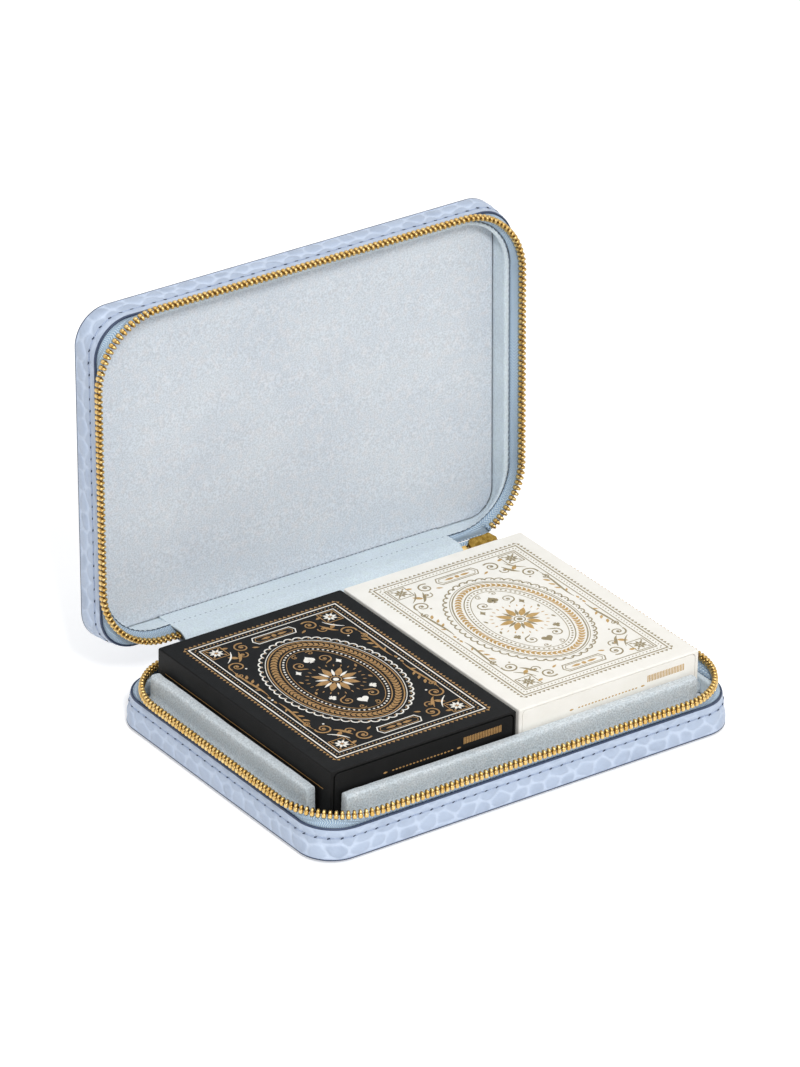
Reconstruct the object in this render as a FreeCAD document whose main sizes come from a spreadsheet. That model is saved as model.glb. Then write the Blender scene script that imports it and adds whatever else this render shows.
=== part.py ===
import FreeCAD, Part
import math
import os
import Sketcher

# Zip-around case for two decks of cards, open at rest with its lid standing up behind it.
# Origin: centre of the base's underside.  +X runs along the hinge, +Y back to it, +Z up.
# Both halves are drawn as they lie when the case is closed; each body's Placement then
# turns the lid, and the tail of the zip with its slider, about the hinge line.

SIZES = (
    ("tuck_board", 0.45, "folded card of a tuck box"),
    ("tuck_clearance", 0.05, "between a tuck box's own layers"),
    ("card_width", 63.5, "one playing card"),
    ("card_length", 88.0, "one playing card"),
    ("card_stack", 17.2, "height of the cards in a box"),
    ("card_corner", 3.5, "corner radius of a card"),
    ("card_side_room", 1.6, "room for the cards across their box"),
    ("card_end_room", 1.1, "room for the cards along their box"),
    ("card_top_room", 0.35, "room over the cards in their box"),
    ("end_panel_side", 1.6, "glued end panel to the box's side"),
    ("end_panel_drop", 0.9, "glued end panel to the box's top"),
    ("end_panel_corner", 2.5, "round of the glued end panel"),
    ("tongue_length", 15.0, "tuck flap's tongue inside the box"),
    ("tongue_side", 1.5, "tongue to the box's inner side"),
    ("thumb_notch", 8.0, "radius of the notch that frees the tongue"),
    ("deck_gap", 1.0, "between the two boxes"),
    ("deck_side_gap", 0.8, "box to side bar"),
    ("deck_end_gap", 0.4, "box to front or back bar"),
    ("bar_thickness", 5.4, "retaining bar"),
    ("bar_height", 12.3, "retaining bar above the floor"),
    ("bar_bevel", 1.5, "bevel of a bar's upper and upright edges"),
    ("bar_cover", 0.8, "suede round a bar's core"),
    ("side_bar_front_gap", 12.0, "side bar's front end to the front wall's lining"),
    ("side_bar_back_gap", 9.1, "side bar's back end to the back wall's lining"),
    ("front_bar_end_gap", 9.1, "front bar's end to the side wall's lining"),
    ("back_bar_end", 2.0, "back bar's end short of the hinge lining's end"),
    ("back_bar_gap", 0.3, "back bar to the hinge lining"),
    ("leather", 1.1, "wall leather"),
    ("board", 1.5, "stiff board in the walls"),
    ("lining", 0.7, "suede on the walls"),
    ("glue_line", 0.05, "between layers that curve together"),
    ("corner_radius", 12.0, "outer corner in plan"),
    ("deck_headroom", 1.2, "boxes to the lid's lining when closed"),
    ("mouth_gap", 4.5, "leather edge to the parting plane"),
    ("edge_set_in", 0.5, "panel leather behind the wall's face"),
    ("edge_round", 0.6, "soft lower edge of the wall leather"),
    ("ridge_level", 5.6, "where the stiff board behind the leather ends"),
    ("ridge_rise", 0.6, "height of the step at the ridge"),
    ("ridge_depth", 0.35, "step of the leather at the ridge"),
    ("board_short", 0.8, "board wall's edge below the leather's"),
    ("lining_short", 0.5, "wall lining's edge below the leather's"),
    ("base_panel", 1.0, "leather under the base"),
    ("base_board", 2.0, "board of the base's floor"),
    ("base_pad", 2.2, "foam on the base's floor"),
    ("base_suede", 1.0, "suede on the base's floor"),
    ("lid_panel", 1.2, "leather on the lid"),
    ("lid_board", 1.5, "board of the lid"),
    ("lid_pad", 1.3, "foam in the lid"),
    ("lid_suede", 0.8, "suede in the lid"),
    ("panel_fit", 0.05, "floor pad to the wall lining"),
    ("tape", 0.45, "thickness of the zip tape"),
    ("tape_edge", 0.2, "thickness of the tape's edge inside the teeth"),
    ("tape_glued", 2.5, "tape behind the leather"),
    ("tape_foot_gap", 0.2, "where the tape turns upright, below the teeth"),
    ("tape_grip", 1.0, "how far the tape reaches into the teeth"),
    ("tape_low_rise", 0.3, "tape above the leather where it runs to the slider"),
    ("row_outboard", 0.6, "teeth's centre line outside the wall"),
    ("row_back_inset", 1.5, "teeth's centre line inside the back wall"),
    ("row_radius", 22.0, "corner radius of the teeth's centre line"),
    ("tooth_pitch", 1.75, "one tooth to the next on one tape"),
    ("tooth_thick", 0.7, "tooth along the row"),
    ("tooth_foot", 2.2, "teeth's feet to the parting plane"),
    ("tooth_mesh", 0.6, "heads past the parting plane"),
    ("tooth_width", 2.4, "teeth across the row, at the feet"),
    ("tooth_head", 1.8, "teeth across the row, at the head"),
    ("tooth_slot_depth", 1.5, "depth of the notch between a tooth's legs"),
    ("stop_slot", 0.7, "slot between a top stop's legs"),
    ("row_left_run", 7.0, "row's straight run on the back wall, past its left corner"),
    ("row_right_gap", 1.0, "slider's mouth to the row's first tooth"),
    ("stop_length", 1.6, "top stop along the row"),
    ("stop_overhang", 0.2, "top stop thicker than the teeth, each side"),
    ("hinge_out", 1.6, "hinge line behind the back wall's face"),
    ("lid_open_angle", 92.0, "lid at rest, from closed"),
    ("spine_end_gap", 4.7, "spine leather's end to where the rows' corners start"),
    ("spine_thick", 1.0, "spine leather"),
    ("spine_low", 2.4, "lower edge of the spine leather"),
    ("spine_corner", 2.0, "corner of the spine leather"),
    ("leaf_gap", 0.6, "leaf's edge to the parting plane"),
    ("hinge_suede", 0.6, "suede over the hinge, inside"),
    ("hinge_suede_reach", 1.0, "that suede's end past the spine leather's"),
    ("tail_gap", 0.2, "that suede's end to the zip's tail"),
    ("tail_length", 5.8, "tail along the hinge"),
    ("tail_cross", 0.5, "cross strip that joins the tail's tapes"),
    ("tail_half_height", 3.2, "tail's outer edge to the parting plane"),
    ("tail_slot_half", 1.75, "tail's inner edge to the parting plane"),
    ("tongue_reach", 5.2, "sewn tongue of the tail into the hinge"),
    ("tongue_half", 0.3, "half thickness of that tongue"),
    ("tongue_axis_gap", 0.4, "tongue short of the hinge line"),
    ("bottom_stop_length", 1.5, "bottom stop along the row"),
    ("bottom_stop_half", 1.7, "half height of the bottom stop"),
    ("bottom_stop_gap", 0.1, "bottom stop to the cross strip"),
    ("slider_gap", 2.8, "tail's inner end to the slider's rear"),
    ("slider_length", 10.0, "slider body"),
    ("slider_mouth_half", 3.2, "half width at the mouth"),
    ("slider_rear_half", 3.0, "half width at the rear"),
    ("slider_nose", 1.0, "chamfer at the slider's shoulders"),
    ("slider_room", 0.2, "chain to plate, each side"),
    ("slider_plate", 0.9, "thickness of a plate"),
    ("flange_thick", 0.65, "flange that holds the chain in"),
    ("flange_height", 0.9, "flange, from its plate"),
    ("flange_length", 6.0, "flange, from the rear"),
    ("neck_length", 2.4, "wedge between the plates"),
    ("neck_half", 1.1, "half width of the wedge at the mouth"),
    ("neck_set_in", 0.3, "wedge behind the mouth"),
    ("crown_length", 6.0, "arch that carries the pull"),
    ("crown_height", 2.7, "arch above its plate"),
    ("crown_thick", 1.6, "arch across"),
    ("crown_window_length", 3.2, "window in the arch"),
    ("crown_window_height", 1.5, "window in the arch"),
    ("crown_window_low", 0.2, "window above the plate"),
    ("crown_chamfer", 1.0, "chamfer at the arch's top"),
    ("pull_bar", 1.0, "pull's bar and plate thickness"),
    ("pull_length", 13.5, "pull, from its pivot"),
    ("pull_width", 3.2, "pull, across, at its eye"),
    ("pull_tip_width", 2.0, "pull, across, at its free end"),
    ("pull_shoulder", 5.5, "where the pull starts to taper, from its pivot"),
    ("pull_eye_width", 2.0, "eye of the pull, across"),
    ("pull_eye_reach", 3.4, "far side of the eye, from the pivot"),
    ("pull_end_cut", 0.6, "corner cut off the pull's free end"),
)

SAME_HEIGHT = 1e-4  # two heights nearer than this are one

LAYOUT = (
    ("deck_width", "sizes.card_width + sizes.card_side_room + 2 * sizes.tuck_board"),
    ("deck_length", "sizes.card_length + sizes.card_end_room + 2 * sizes.tuck_board"),
    ("cards_lift", "2 * sizes.tuck_board + 2 * sizes.tuck_clearance"),
    ("deck_thickness", "layout.cards_lift + sizes.card_stack + sizes.card_top_room"
     " + sizes.tuck_board"),
    ("board_outer", "sizes.leather + sizes.glue_line"),
    ("board_inner", "layout.board_outer + sizes.board"),
    ("lining_outer", "layout.board_inner + sizes.glue_line"),
    ("lining_inner", "layout.lining_outer + sizes.lining"),
    ("panel_inset", "layout.lining_inner + sizes.panel_fit"),
    ("decks_half", "layout.deck_width + sizes.deck_gap / 2"),
    ("bar_inner_x", "layout.decks_half + sizes.deck_side_gap"),
    ("cavity_half_x", "layout.bar_inner_x + sizes.bar_thickness"),
    ("half_width", "layout.cavity_half_x + layout.lining_inner"),
    ("back_bar_room", "sizes.hinge_suede + sizes.back_bar_gap"),
    ("bars_apart", "layout.deck_length + 2 * sizes.deck_end_gap"),
    ("half_depth", "(layout.bars_apart + layout.back_bar_room) / 2 + sizes.bar_thickness"
     " + layout.lining_inner"),
    ("cavity_half_y", "layout.half_depth - layout.lining_inner"),
    ("cavity_radius", "sizes.corner_radius - layout.lining_inner"),
    ("front_bar_inner", "layout.cavity_half_y - sizes.bar_thickness"),
    ("back_bar_inner", "layout.front_bar_inner - layout.back_bar_room"),
    ("deck_front", "-layout.front_bar_inner + sizes.deck_end_gap"),
    ("deck_back", "layout.deck_front + layout.deck_length"),
    ("base_board_level", "sizes.base_panel + sizes.base_board"),
    ("base_pad_level", "layout.base_board_level + sizes.base_pad"),
    ("floor_level", "layout.base_pad_level + sizes.base_suede"),
    ("lid_board_level", "sizes.lid_panel + sizes.lid_board"),
    ("lid_pad_level", "layout.lid_board_level + sizes.lid_pad"),
    ("lid_floor_level", "layout.lid_pad_level + sizes.lid_suede"),
    ("deck_top", "layout.floor_level + layout.deck_thickness"),
    ("closed_height", "layout.deck_top + sizes.deck_headroom + layout.lid_floor_level"),
    ("parting", "layout.closed_height / 2"),
    ("wall_top", "layout.parting - sizes.mouth_gap"),
    ("board_top", "layout.wall_top - sizes.board_short"),
    ("lining_top", "layout.wall_top - sizes.lining_short"),
    ("tape_root", "layout.wall_top - sizes.tape_glued"),
    ("row_side", "layout.half_width + sizes.row_outboard"),
    ("row_front", "layout.half_depth + sizes.row_outboard"),
    ("row_back", "layout.half_depth - sizes.row_back_inset"),
    ("row_foot", "layout.parting - sizes.tooth_foot"),
    ("hinge_y", "layout.half_depth + sizes.hinge_out"),
    ("cards_low", "layout.floor_level + layout.cards_lift"),
    ("row_left_end", "layout.row_side - sizes.row_radius - sizes.row_left_run"),
    ("spine_half", "layout.row_side - sizes.row_radius - sizes.spine_end_gap"),
    ("hinge_suede_half", "layout.spine_half + sizes.hinge_suede_reach"),
    ("tail_start", "layout.hinge_suede_half + sizes.tail_gap"),
    ("slider_rear", "layout.tail_start + sizes.slider_gap"),
    ("row_right_start", "layout.slider_rear + sizes.slider_length + sizes.row_right_gap"),
    ("slider_half_room", "sizes.tooth_width / 2 + sizes.slider_room"),
    ("plate_top", "layout.row_back + layout.slider_half_room + sizes.slider_plate"),
    ("slider_middle", "layout.slider_rear + sizes.slider_length / 2"),
    ("pivot_y", "layout.plate_top + sizes.crown_window_low + sizes.crown_window_height / 2"),
)

doc = FreeCAD.newDocument("card_case")
sizes = doc.addObject("Spreadsheet::Sheet", "sizes")
for row, (name, value, meaning) in enumerate(SIZES, start=1):
    sizes.set(f"A{row}", name)
    sizes.set(f"B{row}", str(value))
    sizes.set(f"C{row}", meaning)
    sizes.setAlias(f"B{row}", name)
doc.recompute()

layout = doc.addObject("App::VarSet", "layout")
for name, expression in LAYOUT:
    layout.addProperty("App::PropertyFloat", name, "worked out")
    layout.setExpression(name, expression)
doc.recompute()


def read(expression):
    """Value of an expression on the two tables."""
    return float(layout.evalExpression(expression))


# ---------------------------------------------------------------- sketches and features

def new_body(label):
    """An empty body with a label of its own."""
    body = doc.addObject("PartDesign::Body", label)
    body.Label = label
    return body


def new_sketch(body, role, offset):
    """A sketch parallel to one of the body's own planes, offset along its normal."""
    plane = [item for item in body.Origin.OriginFeatures if item.Role == role][0]
    sketch = body.newObject("Sketcher::SketchObject", "outline")
    sketch.AttachmentSupport = [(plane, "")]
    sketch.MapMode = "FlatFace"
    sketch.setExpression("AttachmentOffset.Base.z", offset)
    return sketch


def dimension(sketch, kind, places, expression, name):
    """A named dimension bound to an expression."""
    index = sketch.addConstraint(Sketcher.Constraint(kind, *places, read(expression)))
    sketch.renameConstraint(index, name)
    sketch.setExpression(f"Constraints.{name}", expression)


def rounded_outline(sketch, right, left, back, front, radius):
    """A rectangle with round corners; each side is a distance from the sketch's origin."""
    east = read(right)
    west = -read(left)
    north = read(back)
    south = -read(front)
    round_ = read(radius)
    centres = (
        (east - round_, south + round_, -math.pi / 2),
        (east - round_, north - round_, 0),
        (west + round_, north - round_, math.pi / 2),
        (west + round_, south + round_, math.pi),
    )
    arcs = []
    for x, y, start in centres:
        circle = Part.Circle(FreeCAD.Vector(x, y, 0), FreeCAD.Vector(0, 0, 1), round_)
        arcs.append(Part.ArcOfCircle(circle, start, start + math.pi / 2))
    ids = []
    for index, arc in enumerate(arcs):
        start = arcs[index - 1].EndPoint
        ids.append(sketch.addGeometry(Part.LineSegment(start, arc.StartPoint), False))
        ids.append(sketch.addGeometry(arc, False))
    for index, item in enumerate(ids):
        following = ids[(index + 1) % len(ids)]
        sketch.addConstraint(Sketcher.Constraint("Tangent", item, 2, following, 1))
    south_line, first_arc, east_line, second_arc, north_line, third_arc, west_line, last_arc = ids
    for line in (south_line, north_line):
        sketch.addConstraint(Sketcher.Constraint("Horizontal", line))
    for line in (east_line, west_line):
        sketch.addConstraint(Sketcher.Constraint("Vertical", line))
    for arc in (second_arc, third_arc, last_arc):
        sketch.addConstraint(Sketcher.Constraint("Equal", first_arc, arc))
    dimension(sketch, "Radius", (first_arc,), radius, "corner")
    dimension(sketch, "DistanceX", (-1, 1, east_line, 1), right, "right")
    dimension(sketch, "DistanceX", (west_line, 1, -1, 1), left, "left")
    dimension(sketch, "DistanceY", (-1, 1, north_line, 1), back, "back")
    dimension(sketch, "DistanceY", (south_line, 1, -1, 1), front, "front")


def circle_outline(sketch, x, y, radius):
    """A circle about a place given by two expressions."""
    centre = FreeCAD.Vector(read(x), read(y), 0)
    circle = Part.Circle(centre, FreeCAD.Vector(0, 0, 1), read(radius))
    item = sketch.addGeometry(circle, False)
    dimension(sketch, "Radius", (item,), radius, "radius")
    dimension(sketch, "DistanceX", (-1, 1, item, 3), x, "x")
    dimension(sketch, "DistanceY", (-1, 1, item, 3), y, "y")


def corner_outline(sketch, corners):
    """A closed outline of straight edges; each corner is a pair of expressions."""
    points = [FreeCAD.Vector(read(x), read(y), 0) for x, y in corners]
    ids = []
    for index, point in enumerate(points):
        following = points[(index + 1) % len(points)]
        ids.append(sketch.addGeometry(Part.LineSegment(point, following), False))
    for index, item in enumerate(ids):
        following = ids[(index + 1) % len(ids)]
        sketch.addConstraint(Sketcher.Constraint("Coincident", item, 2, following, 1))
    for index, (item, (x, y)) in enumerate(zip(ids, corners)):
        for kind, expression, axis in (("DistanceX", x, "x"), ("DistanceY", y, "y")):
            dimension(sketch, kind, (-1, 1, item, 1), expression, f"{axis}{index}")


def bevelled_outline(sketch, centre, half_x, half_y, cut):
    """A rectangle about a centre, with its four corners cut off."""
    x, y = centre
    steps = (
        (f"-({half_x}) + {cut}", f"-({half_y})"), (f"({half_x}) - {cut}", f"-({half_y})"),
        (f"({half_x})", f"-({half_y}) + {cut}"), (f"({half_x})", f"({half_y}) - {cut}"),
        (f"({half_x}) - {cut}", f"({half_y})"), (f"-({half_x}) + {cut}", f"({half_y})"),
        (f"-({half_x})", f"({half_y}) - {cut}"), (f"-({half_x})", f"-({half_y}) + {cut}"))
    corner_outline(sketch, [(f"({x}) + {dx}", f"({y}) + {dy}") for dx, dy in steps])


def pad(body, sketch, length):
    """Material along the sketch's normal."""
    feature = body.newObject("PartDesign::Pad", "pad")
    feature.Profile = sketch
    feature.setExpression("Length", length)
    doc.recompute()
    return feature


def pocket(body, sketch, length):
    """A cut along the sketch's normal."""
    feature = body.newObject("PartDesign::Pocket", "pocket")
    feature.Profile = sketch
    feature.Reversed = True
    feature.setExpression("Length", length)
    doc.recompute()
    return feature


def dress(body, kind, edges, expression):
    """A Fillet or Chamfer on the edges of the body's last feature that pass a test."""
    base = body.Tip
    names = []
    for index, edge in enumerate(base.Shape.Edges, start=1):
        if edges(edge):
            names.append(f"Edge{index}")
    feature = body.newObject(f"PartDesign::{kind}", kind.lower())
    feature.Base = (base, names)
    feature.setExpression("Radius" if kind == "Fillet" else "Size", expression)
    doc.recompute()
    return feature


def at_height(level):
    """A test for edges that lie flat at a height."""
    height = read(level)

    def flat(edge):
        box = edge.BoundBox
        return abs(box.ZMin - height) < SAME_HEIGHT and abs(box.ZMax - height) < SAME_HEIGHT
    return flat


# ---------------------------------------------------------------- the two halves' shells

def level_in(half, expression):
    """A height in a half, measured from its own outer face."""
    if half == "base":
        return expression
    return f"layout.closed_height - ({expression})"


def wall_outline(sketch, inset):
    """The case's plan, inset from its outer face."""
    side = f"layout.half_width - ({inset})"
    end = f"layout.half_depth - ({inset})"
    rounded_outline(sketch, side, side, end, end, f"sizes.corner_radius - ({inset})")


def row_outline(sketch, shift):
    """The plan of the zip's teeth, shifted outwards from their centre line."""
    side = f"layout.row_side + ({shift})"
    front = f"layout.row_front + ({shift})"
    back = f"layout.row_back + ({shift})"
    rounded_outline(sketch, side, side, back, front, f"sizes.row_radius + ({shift})")


def layer(body, half, inset, low, high, action, draw=wall_outline):
    """One flat layer of a half, between two heights."""
    sketch = new_sketch(body, "XY_Plane", level_in(half, low if half == "base" else high))
    draw(sketch, inset)
    return action(body, sketch, f"abs(({high}) - ({low}))")


def loft(body, half, sections, cut):
    """A ruled loft through outlines; each section is a height, a drawing and its inset."""
    sketches = []
    for level, draw, shift in sections:
        sketch = new_sketch(body, "XY_Plane", level_in(half, level))
        draw(sketch, shift)
        sketches.append(sketch)
    doc.recompute()
    kind = "SubtractiveLoft" if cut else "AdditiveLoft"
    feature = body.newObject(f"PartDesign::{kind}", kind.lower())
    feature.Profile = (sketches[0], [""])
    feature.Sections = [(sketch, [""]) for sketch in sketches[1:]]
    feature.Ruled = True
    doc.recompute()
    return feature


def panel_leather(half, thickness):
    """The flat leather on a half's outer face, set in a little behind the wall."""
    name = "base_underside_leather" if half == "base" else "lid_top_leather"
    body = new_body(name)
    layer(body, half, "sizes.edge_set_in", "0", thickness, pad)
    dress(body, "Chamfer", at_height(level_in(half, "0")), f"{thickness} / 2")
    return body


def wall_leather(half, panel):
    """The leather strip round a half: soft lower edge, board ridge, thinner above it."""
    body = new_body(f"{half}_wall_leather")
    outside = (
        (panel, wall_outline, "sizes.edge_round / 2"),
        (f"{panel} + sizes.edge_round", wall_outline, "0"),
        ("sizes.ridge_level", wall_outline, "0"),
        ("sizes.ridge_level + sizes.ridge_rise", wall_outline, "sizes.ridge_depth"),
        ("layout.wall_top", wall_outline, "sizes.ridge_depth"),
    )
    loft(body, half, outside, False)
    layer(body, half, "sizes.leather", panel, "layout.wall_top", pocket)
    return body


def board_tray(half, panel, board_level):
    """The stiff tray: floor and walls, thinned outside at the top where the tape is glued."""
    body = new_body(f"{half}_board_tray")
    layer(body, half, "layout.board_outer", panel, "layout.tape_root - sizes.glue_line", pad)
    thinned = "layout.board_outer + sizes.tape + sizes.glue_line"
    layer(body, half, thinned, "layout.tape_root - sizes.glue_line", "layout.board_top", pad)
    layer(body, half, "layout.board_inner", board_level, "layout.board_top", pocket)
    return body


def floor_layers(half, board_level, pad_level, top_level):
    """Foam and suede on the tray's floor, dropped in inside the wall lining."""
    names = ("base_floor_pad", "base_floor_lining") if half == "base" else (
        "lid_top_pad", "lid_top_lining")
    foam = new_body(names[0])
    layer(foam, half, "layout.panel_inset", board_level, pad_level, pad)
    suede = new_body(names[1])
    layer(suede, half, "layout.panel_inset", pad_level, top_level, pad)
    return [foam, suede]


def wall_lining(half, board_level):
    """The suede strip inside the walls."""
    body = new_body(f"{half}_wall_lining")
    layer(body, half, "layout.lining_outer", board_level, "layout.lining_top", pad)
    layer(body, half, "layout.lining_inner", board_level, "layout.lining_top", pocket)
    return body


def zip_tape(half):
    """The tape of one row: glued in behind the leather, flared out, upright in the teeth."""
    body = new_body(f"{half}_zip_tape")
    foot = "layout.row_foot - sizes.tape_foot_gap"
    tip = "layout.row_foot + sizes.tape_grip"
    outside = "layout.board_outer"
    inside = "layout.board_outer + sizes.tape"
    layer(body, half, outside, "layout.tape_root", "layout.wall_top", pad)
    for inset, sign, cut in ((outside, "1", False), (inside, "-1", True)):
        flare = (("layout.wall_top", wall_outline, inset),
                 (foot, row_outline, f"{sign} * sizes.tape_edge / 2"))
        loft(body, half, flare, cut)
    layer(body, half, inside, "layout.tape_root", "layout.wall_top", pocket)
    for shift, action in (("sizes.tape_edge / 2", pad), ("-sizes.tape_edge / 2", pocket)):
        layer(body, half, shift, foot, tip, action, row_outline)
    cut_back(body, half, "-layout.row_left_end + sizes.stop_length + sizes.tooth_thick",
             "layout.spine_half", "0")
    cut_back(body, half, "layout.spine_half", "layout.row_right_start - sizes.tooth_thick",
             "layout.wall_top + sizes.tape_low_rise")
    return body


def cut_back(body, half, left, right, low):
    """Cuts the back run away between two places, from a height up to the parting plane."""
    start = low if half == "base" else "layout.parting"
    sketch = new_sketch(body, "XY_Plane", level_in(half, start))
    near = "layout.row_back - sizes.row_radius / 2"
    far = "layout.half_depth + sizes.hinge_out"
    corner_outline(sketch, ((left, near), (right, near), (right, far), (left, far)))
    pocket(body, sketch, f"layout.parting - ({low})")


def spine_leaf(half):
    """Half of the leather strip that joins the two halves outside."""
    body = new_body(f"{half}_spine_leaf")
    sketch = new_sketch(body, "XZ_Plane", "-(layout.half_depth + sizes.spine_thick)")
    low = level_in(half, "sizes.spine_low")
    high = level_in(half, "layout.parting - sizes.leaf_gap")
    if half == "lid":
        low, high = high, low
    upright_panel(sketch, "layout.spine_half", low, high, half, "sizes.spine_corner")
    pad(body, sketch, "sizes.spine_thick")
    return body


def hinge_lining_leaf(half, floor):
    """Half of the suede strip over the hinge inside, glued to the wall lining."""
    body = new_body(f"{half}_hinge_lining_leaf")
    sketch = new_sketch(body, "XZ_Plane", "-layout.cavity_half_y")
    low = level_in(half, floor)
    high = level_in(half, "layout.parting - sizes.leaf_gap")
    if half == "lid":
        low, high = high, low
    side = "layout.hinge_suede_half"
    corner_outline(sketch, ((f"-{side}", low), (side, low), (side, high), (f"-{side}", high)))
    pad(body, sketch, "sizes.hinge_suede")
    return body


def upright_panel(sketch, side, low, high, half, corner):
    """A panel outline whose two corners away from the hinge line are cut off."""
    if half == "base":
        corners = (
            (f"-{side} + {corner}", low), (f"{side} - {corner}", low),
            (side, f"{low} + {corner}"), (side, high),
            (f"-{side}", high), (f"-{side}", f"{low} + {corner}"))
    else:
        corners = (
            (f"-{side}", low), (side, low),
            (side, f"{high} - {corner}"), (f"{side} - {corner}", high),
            (f"-{side} + {corner}", high), (f"-{side}", f"{high} - {corner}"))
    corner_outline(sketch, corners)


# ---------------------------------------------------------------- the zip's rows

def row_path():
    """The teeth's centre line, from right of the slider round the front to the left end."""
    side = read("layout.row_side")
    front = read("layout.row_front")
    back = read("layout.row_back")
    radius = read("sizes.row_radius")
    up = FreeCAD.Vector(0, 0, 1)
    x = side - radius
    centres = (
        (x, back - radius, math.pi / 2),
        (x, radius - front, 0),
        (-x, radius - front, -math.pi / 2),
        (-x, back - radius, math.pi),
    )
    edges = []
    for cx, cy, start in centres:
        circle = Part.Circle(FreeCAD.Vector(cx, cy, 0), -up, radius)
        first = FreeCAD.Vector(cx + radius * math.cos(start), cy + radius * math.sin(start), 0)
        turn = start - math.pi / 2
        last = FreeCAD.Vector(cx + radius * math.cos(turn), cy + radius * math.sin(turn), 0)
        arc = Part.ArcOfCircle(circle, circle.parameter(first), circle.parameter(last))
        if edges:
            edges.append(Part.LineSegment(edges[-1].EndPoint, first))
        edges.append(arc)
    end = FreeCAD.Vector(-read("layout.row_left_end"), back, 0)
    edges.append(Part.LineSegment(edges[-1].EndPoint, end))
    return [edge.toShape() for edge in edges]


def point_on(edges, distance):
    """Place and direction at a distance along a chain of edges."""
    for edge in edges:
        if distance <= edge.Length:
            parameter = edge.getParameterByLength(distance)
            return edge.valueAt(parameter), edge.tangentAt(parameter)
        distance -= edge.Length
    last = edges[-1]
    return last.valueAt(last.LastParameter), last.tangentAt(last.LastParameter)


def tooth(half):
    """One tooth at the origin: a tapered head on two legs that straddle the tape's edge."""
    parting = read("layout.parting")
    up = 1 if half == "base" else -1
    foot = parting - up * read("sizes.tooth_foot")
    head = parting + up * read("sizes.tooth_mesh")
    slot_top = foot + up * read("sizes.tooth_slot_depth")
    wide = read("sizes.tooth_width / 2")
    narrow = read("sizes.tooth_head / 2")
    thick = read("sizes.tooth_thick")
    outline = ((-wide, foot), (-narrow, head), (narrow, head), (wide, foot), (0, slot_top))
    points = [FreeCAD.Vector(-thick / 2, across, z) for across, z in outline]
    wire = Part.makePolygon(points + points[:1])
    return Part.Face(wire).extrude(FreeCAD.Vector(thick, 0, 0))


def stop_block(half):
    """A top stop at the origin: a plain clamp that straddles the tape like a tooth."""
    parting = read("layout.parting")
    up = 1 if half == "base" else -1
    foot = parting - up * read("sizes.tooth_foot")
    head = parting - up * read("sizes.stop_overhang")
    slot_top = foot + up * read("sizes.tooth_slot_depth")
    wide = read("sizes.tooth_width / 2 + sizes.stop_overhang")
    slot = read("sizes.stop_slot / 2")
    length = read("sizes.stop_length")
    outline = ((-wide, foot), (-wide, head), (wide, head), (wide, foot),
               (slot, foot), (0, slot_top), (-slot, foot))
    points = [FreeCAD.Vector(0, across, z) for across, z in outline]
    wire = Part.makePolygon(points + points[:1])
    return Part.Face(wire).extrude(FreeCAD.Vector(-length, 0, 0))


def part_feature(label, shape):
    """A piece whose shape is made by code from the two tables."""
    feature = doc.addObject("Part::Feature", label)
    feature.Label = label
    feature.Shape = shape
    return feature


def placed(shape, point, direction):
    """A copy of a shape made along X, moved to a point and turned to a direction."""
    copy = shape.copy()
    angle = math.degrees(math.atan2(direction.y, direction.x))
    copy.Placement = FreeCAD.Placement(
        FreeCAD.Vector(point.x, point.y, 0),
        FreeCAD.Rotation(FreeCAD.Vector(0, 0, 1), angle))
    return copy


def zip_teeth(half):
    """One row of teeth; the lid's stand half a pitch along, so the rows mesh when closed."""
    edges = row_path()
    pitch = read("sizes.tooth_pitch")
    radius = read("sizes.row_radius")
    swing = math.asin((read("layout.row_right_start - layout.row_side") + radius) / radius)
    start = radius * swing + (0 if half == "base" else pitch / 2)
    length = sum(edge.Length for edge in edges)
    count = int((length - start) / pitch)
    single = tooth(half)
    row = [placed(single, *point_on(edges, start + index * pitch)) for index in range(count)]
    return part_feature(f"{half}_zip_teeth", Part.makeCompound(row))


def top_stop(half):
    """The clamp at the left end of one row, past its last tooth."""
    x = -read("layout.row_left_end") + read("sizes.tooth_thick") + read("sizes.stop_length")
    block = stop_block(half)
    point = FreeCAD.Vector(x, read("layout.row_back"), 0)
    shape = placed(block, point, FreeCAD.Vector(1, 0, 0))
    return part_feature(f"{half}_zip_top_stop", Part.makeCompound([shape]))


# ---------------------------------------------------------------- retaining bars

def bar(name, centre, half_size):
    """A suede cover closed over a core; centre and half sizes are pairs of expressions."""
    (x, y), (half_x, half_y) = centre, half_size
    low = "layout.floor_level"
    bevel = "sizes.bar_bevel"

    def plan(sketch, inset, cut):
        side = f"({half_x}) - {inset}"
        end = f"({half_y}) - {inset}"
        bevelled_outline(sketch, (x, y), side, end, cut)

    cover = new_body(f"{name}_bar_cover")
    sketch = new_sketch(cover, "XY_Plane", low)
    plan(sketch, "0", bevel)
    pad(cover, sketch, "sizes.bar_height")
    dress(cover, "Chamfer", at_height(f"{low} + sizes.bar_height"), bevel)
    hollow = new_sketch(cover, "XY_Plane", low)
    plan(hollow, "sizes.bar_cover", f"{bevel} - sizes.bar_cover / 2")
    pocket(cover, hollow, "sizes.bar_height - sizes.bar_cover")
    core = new_body(f"{name}_bar_core")
    block = new_sketch(core, "XY_Plane", low)
    plan(block, "sizes.bar_cover", f"{bevel} - sizes.bar_cover / 2")
    pad(core, block, "sizes.bar_height - sizes.bar_cover")
    return [cover, core]


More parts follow.
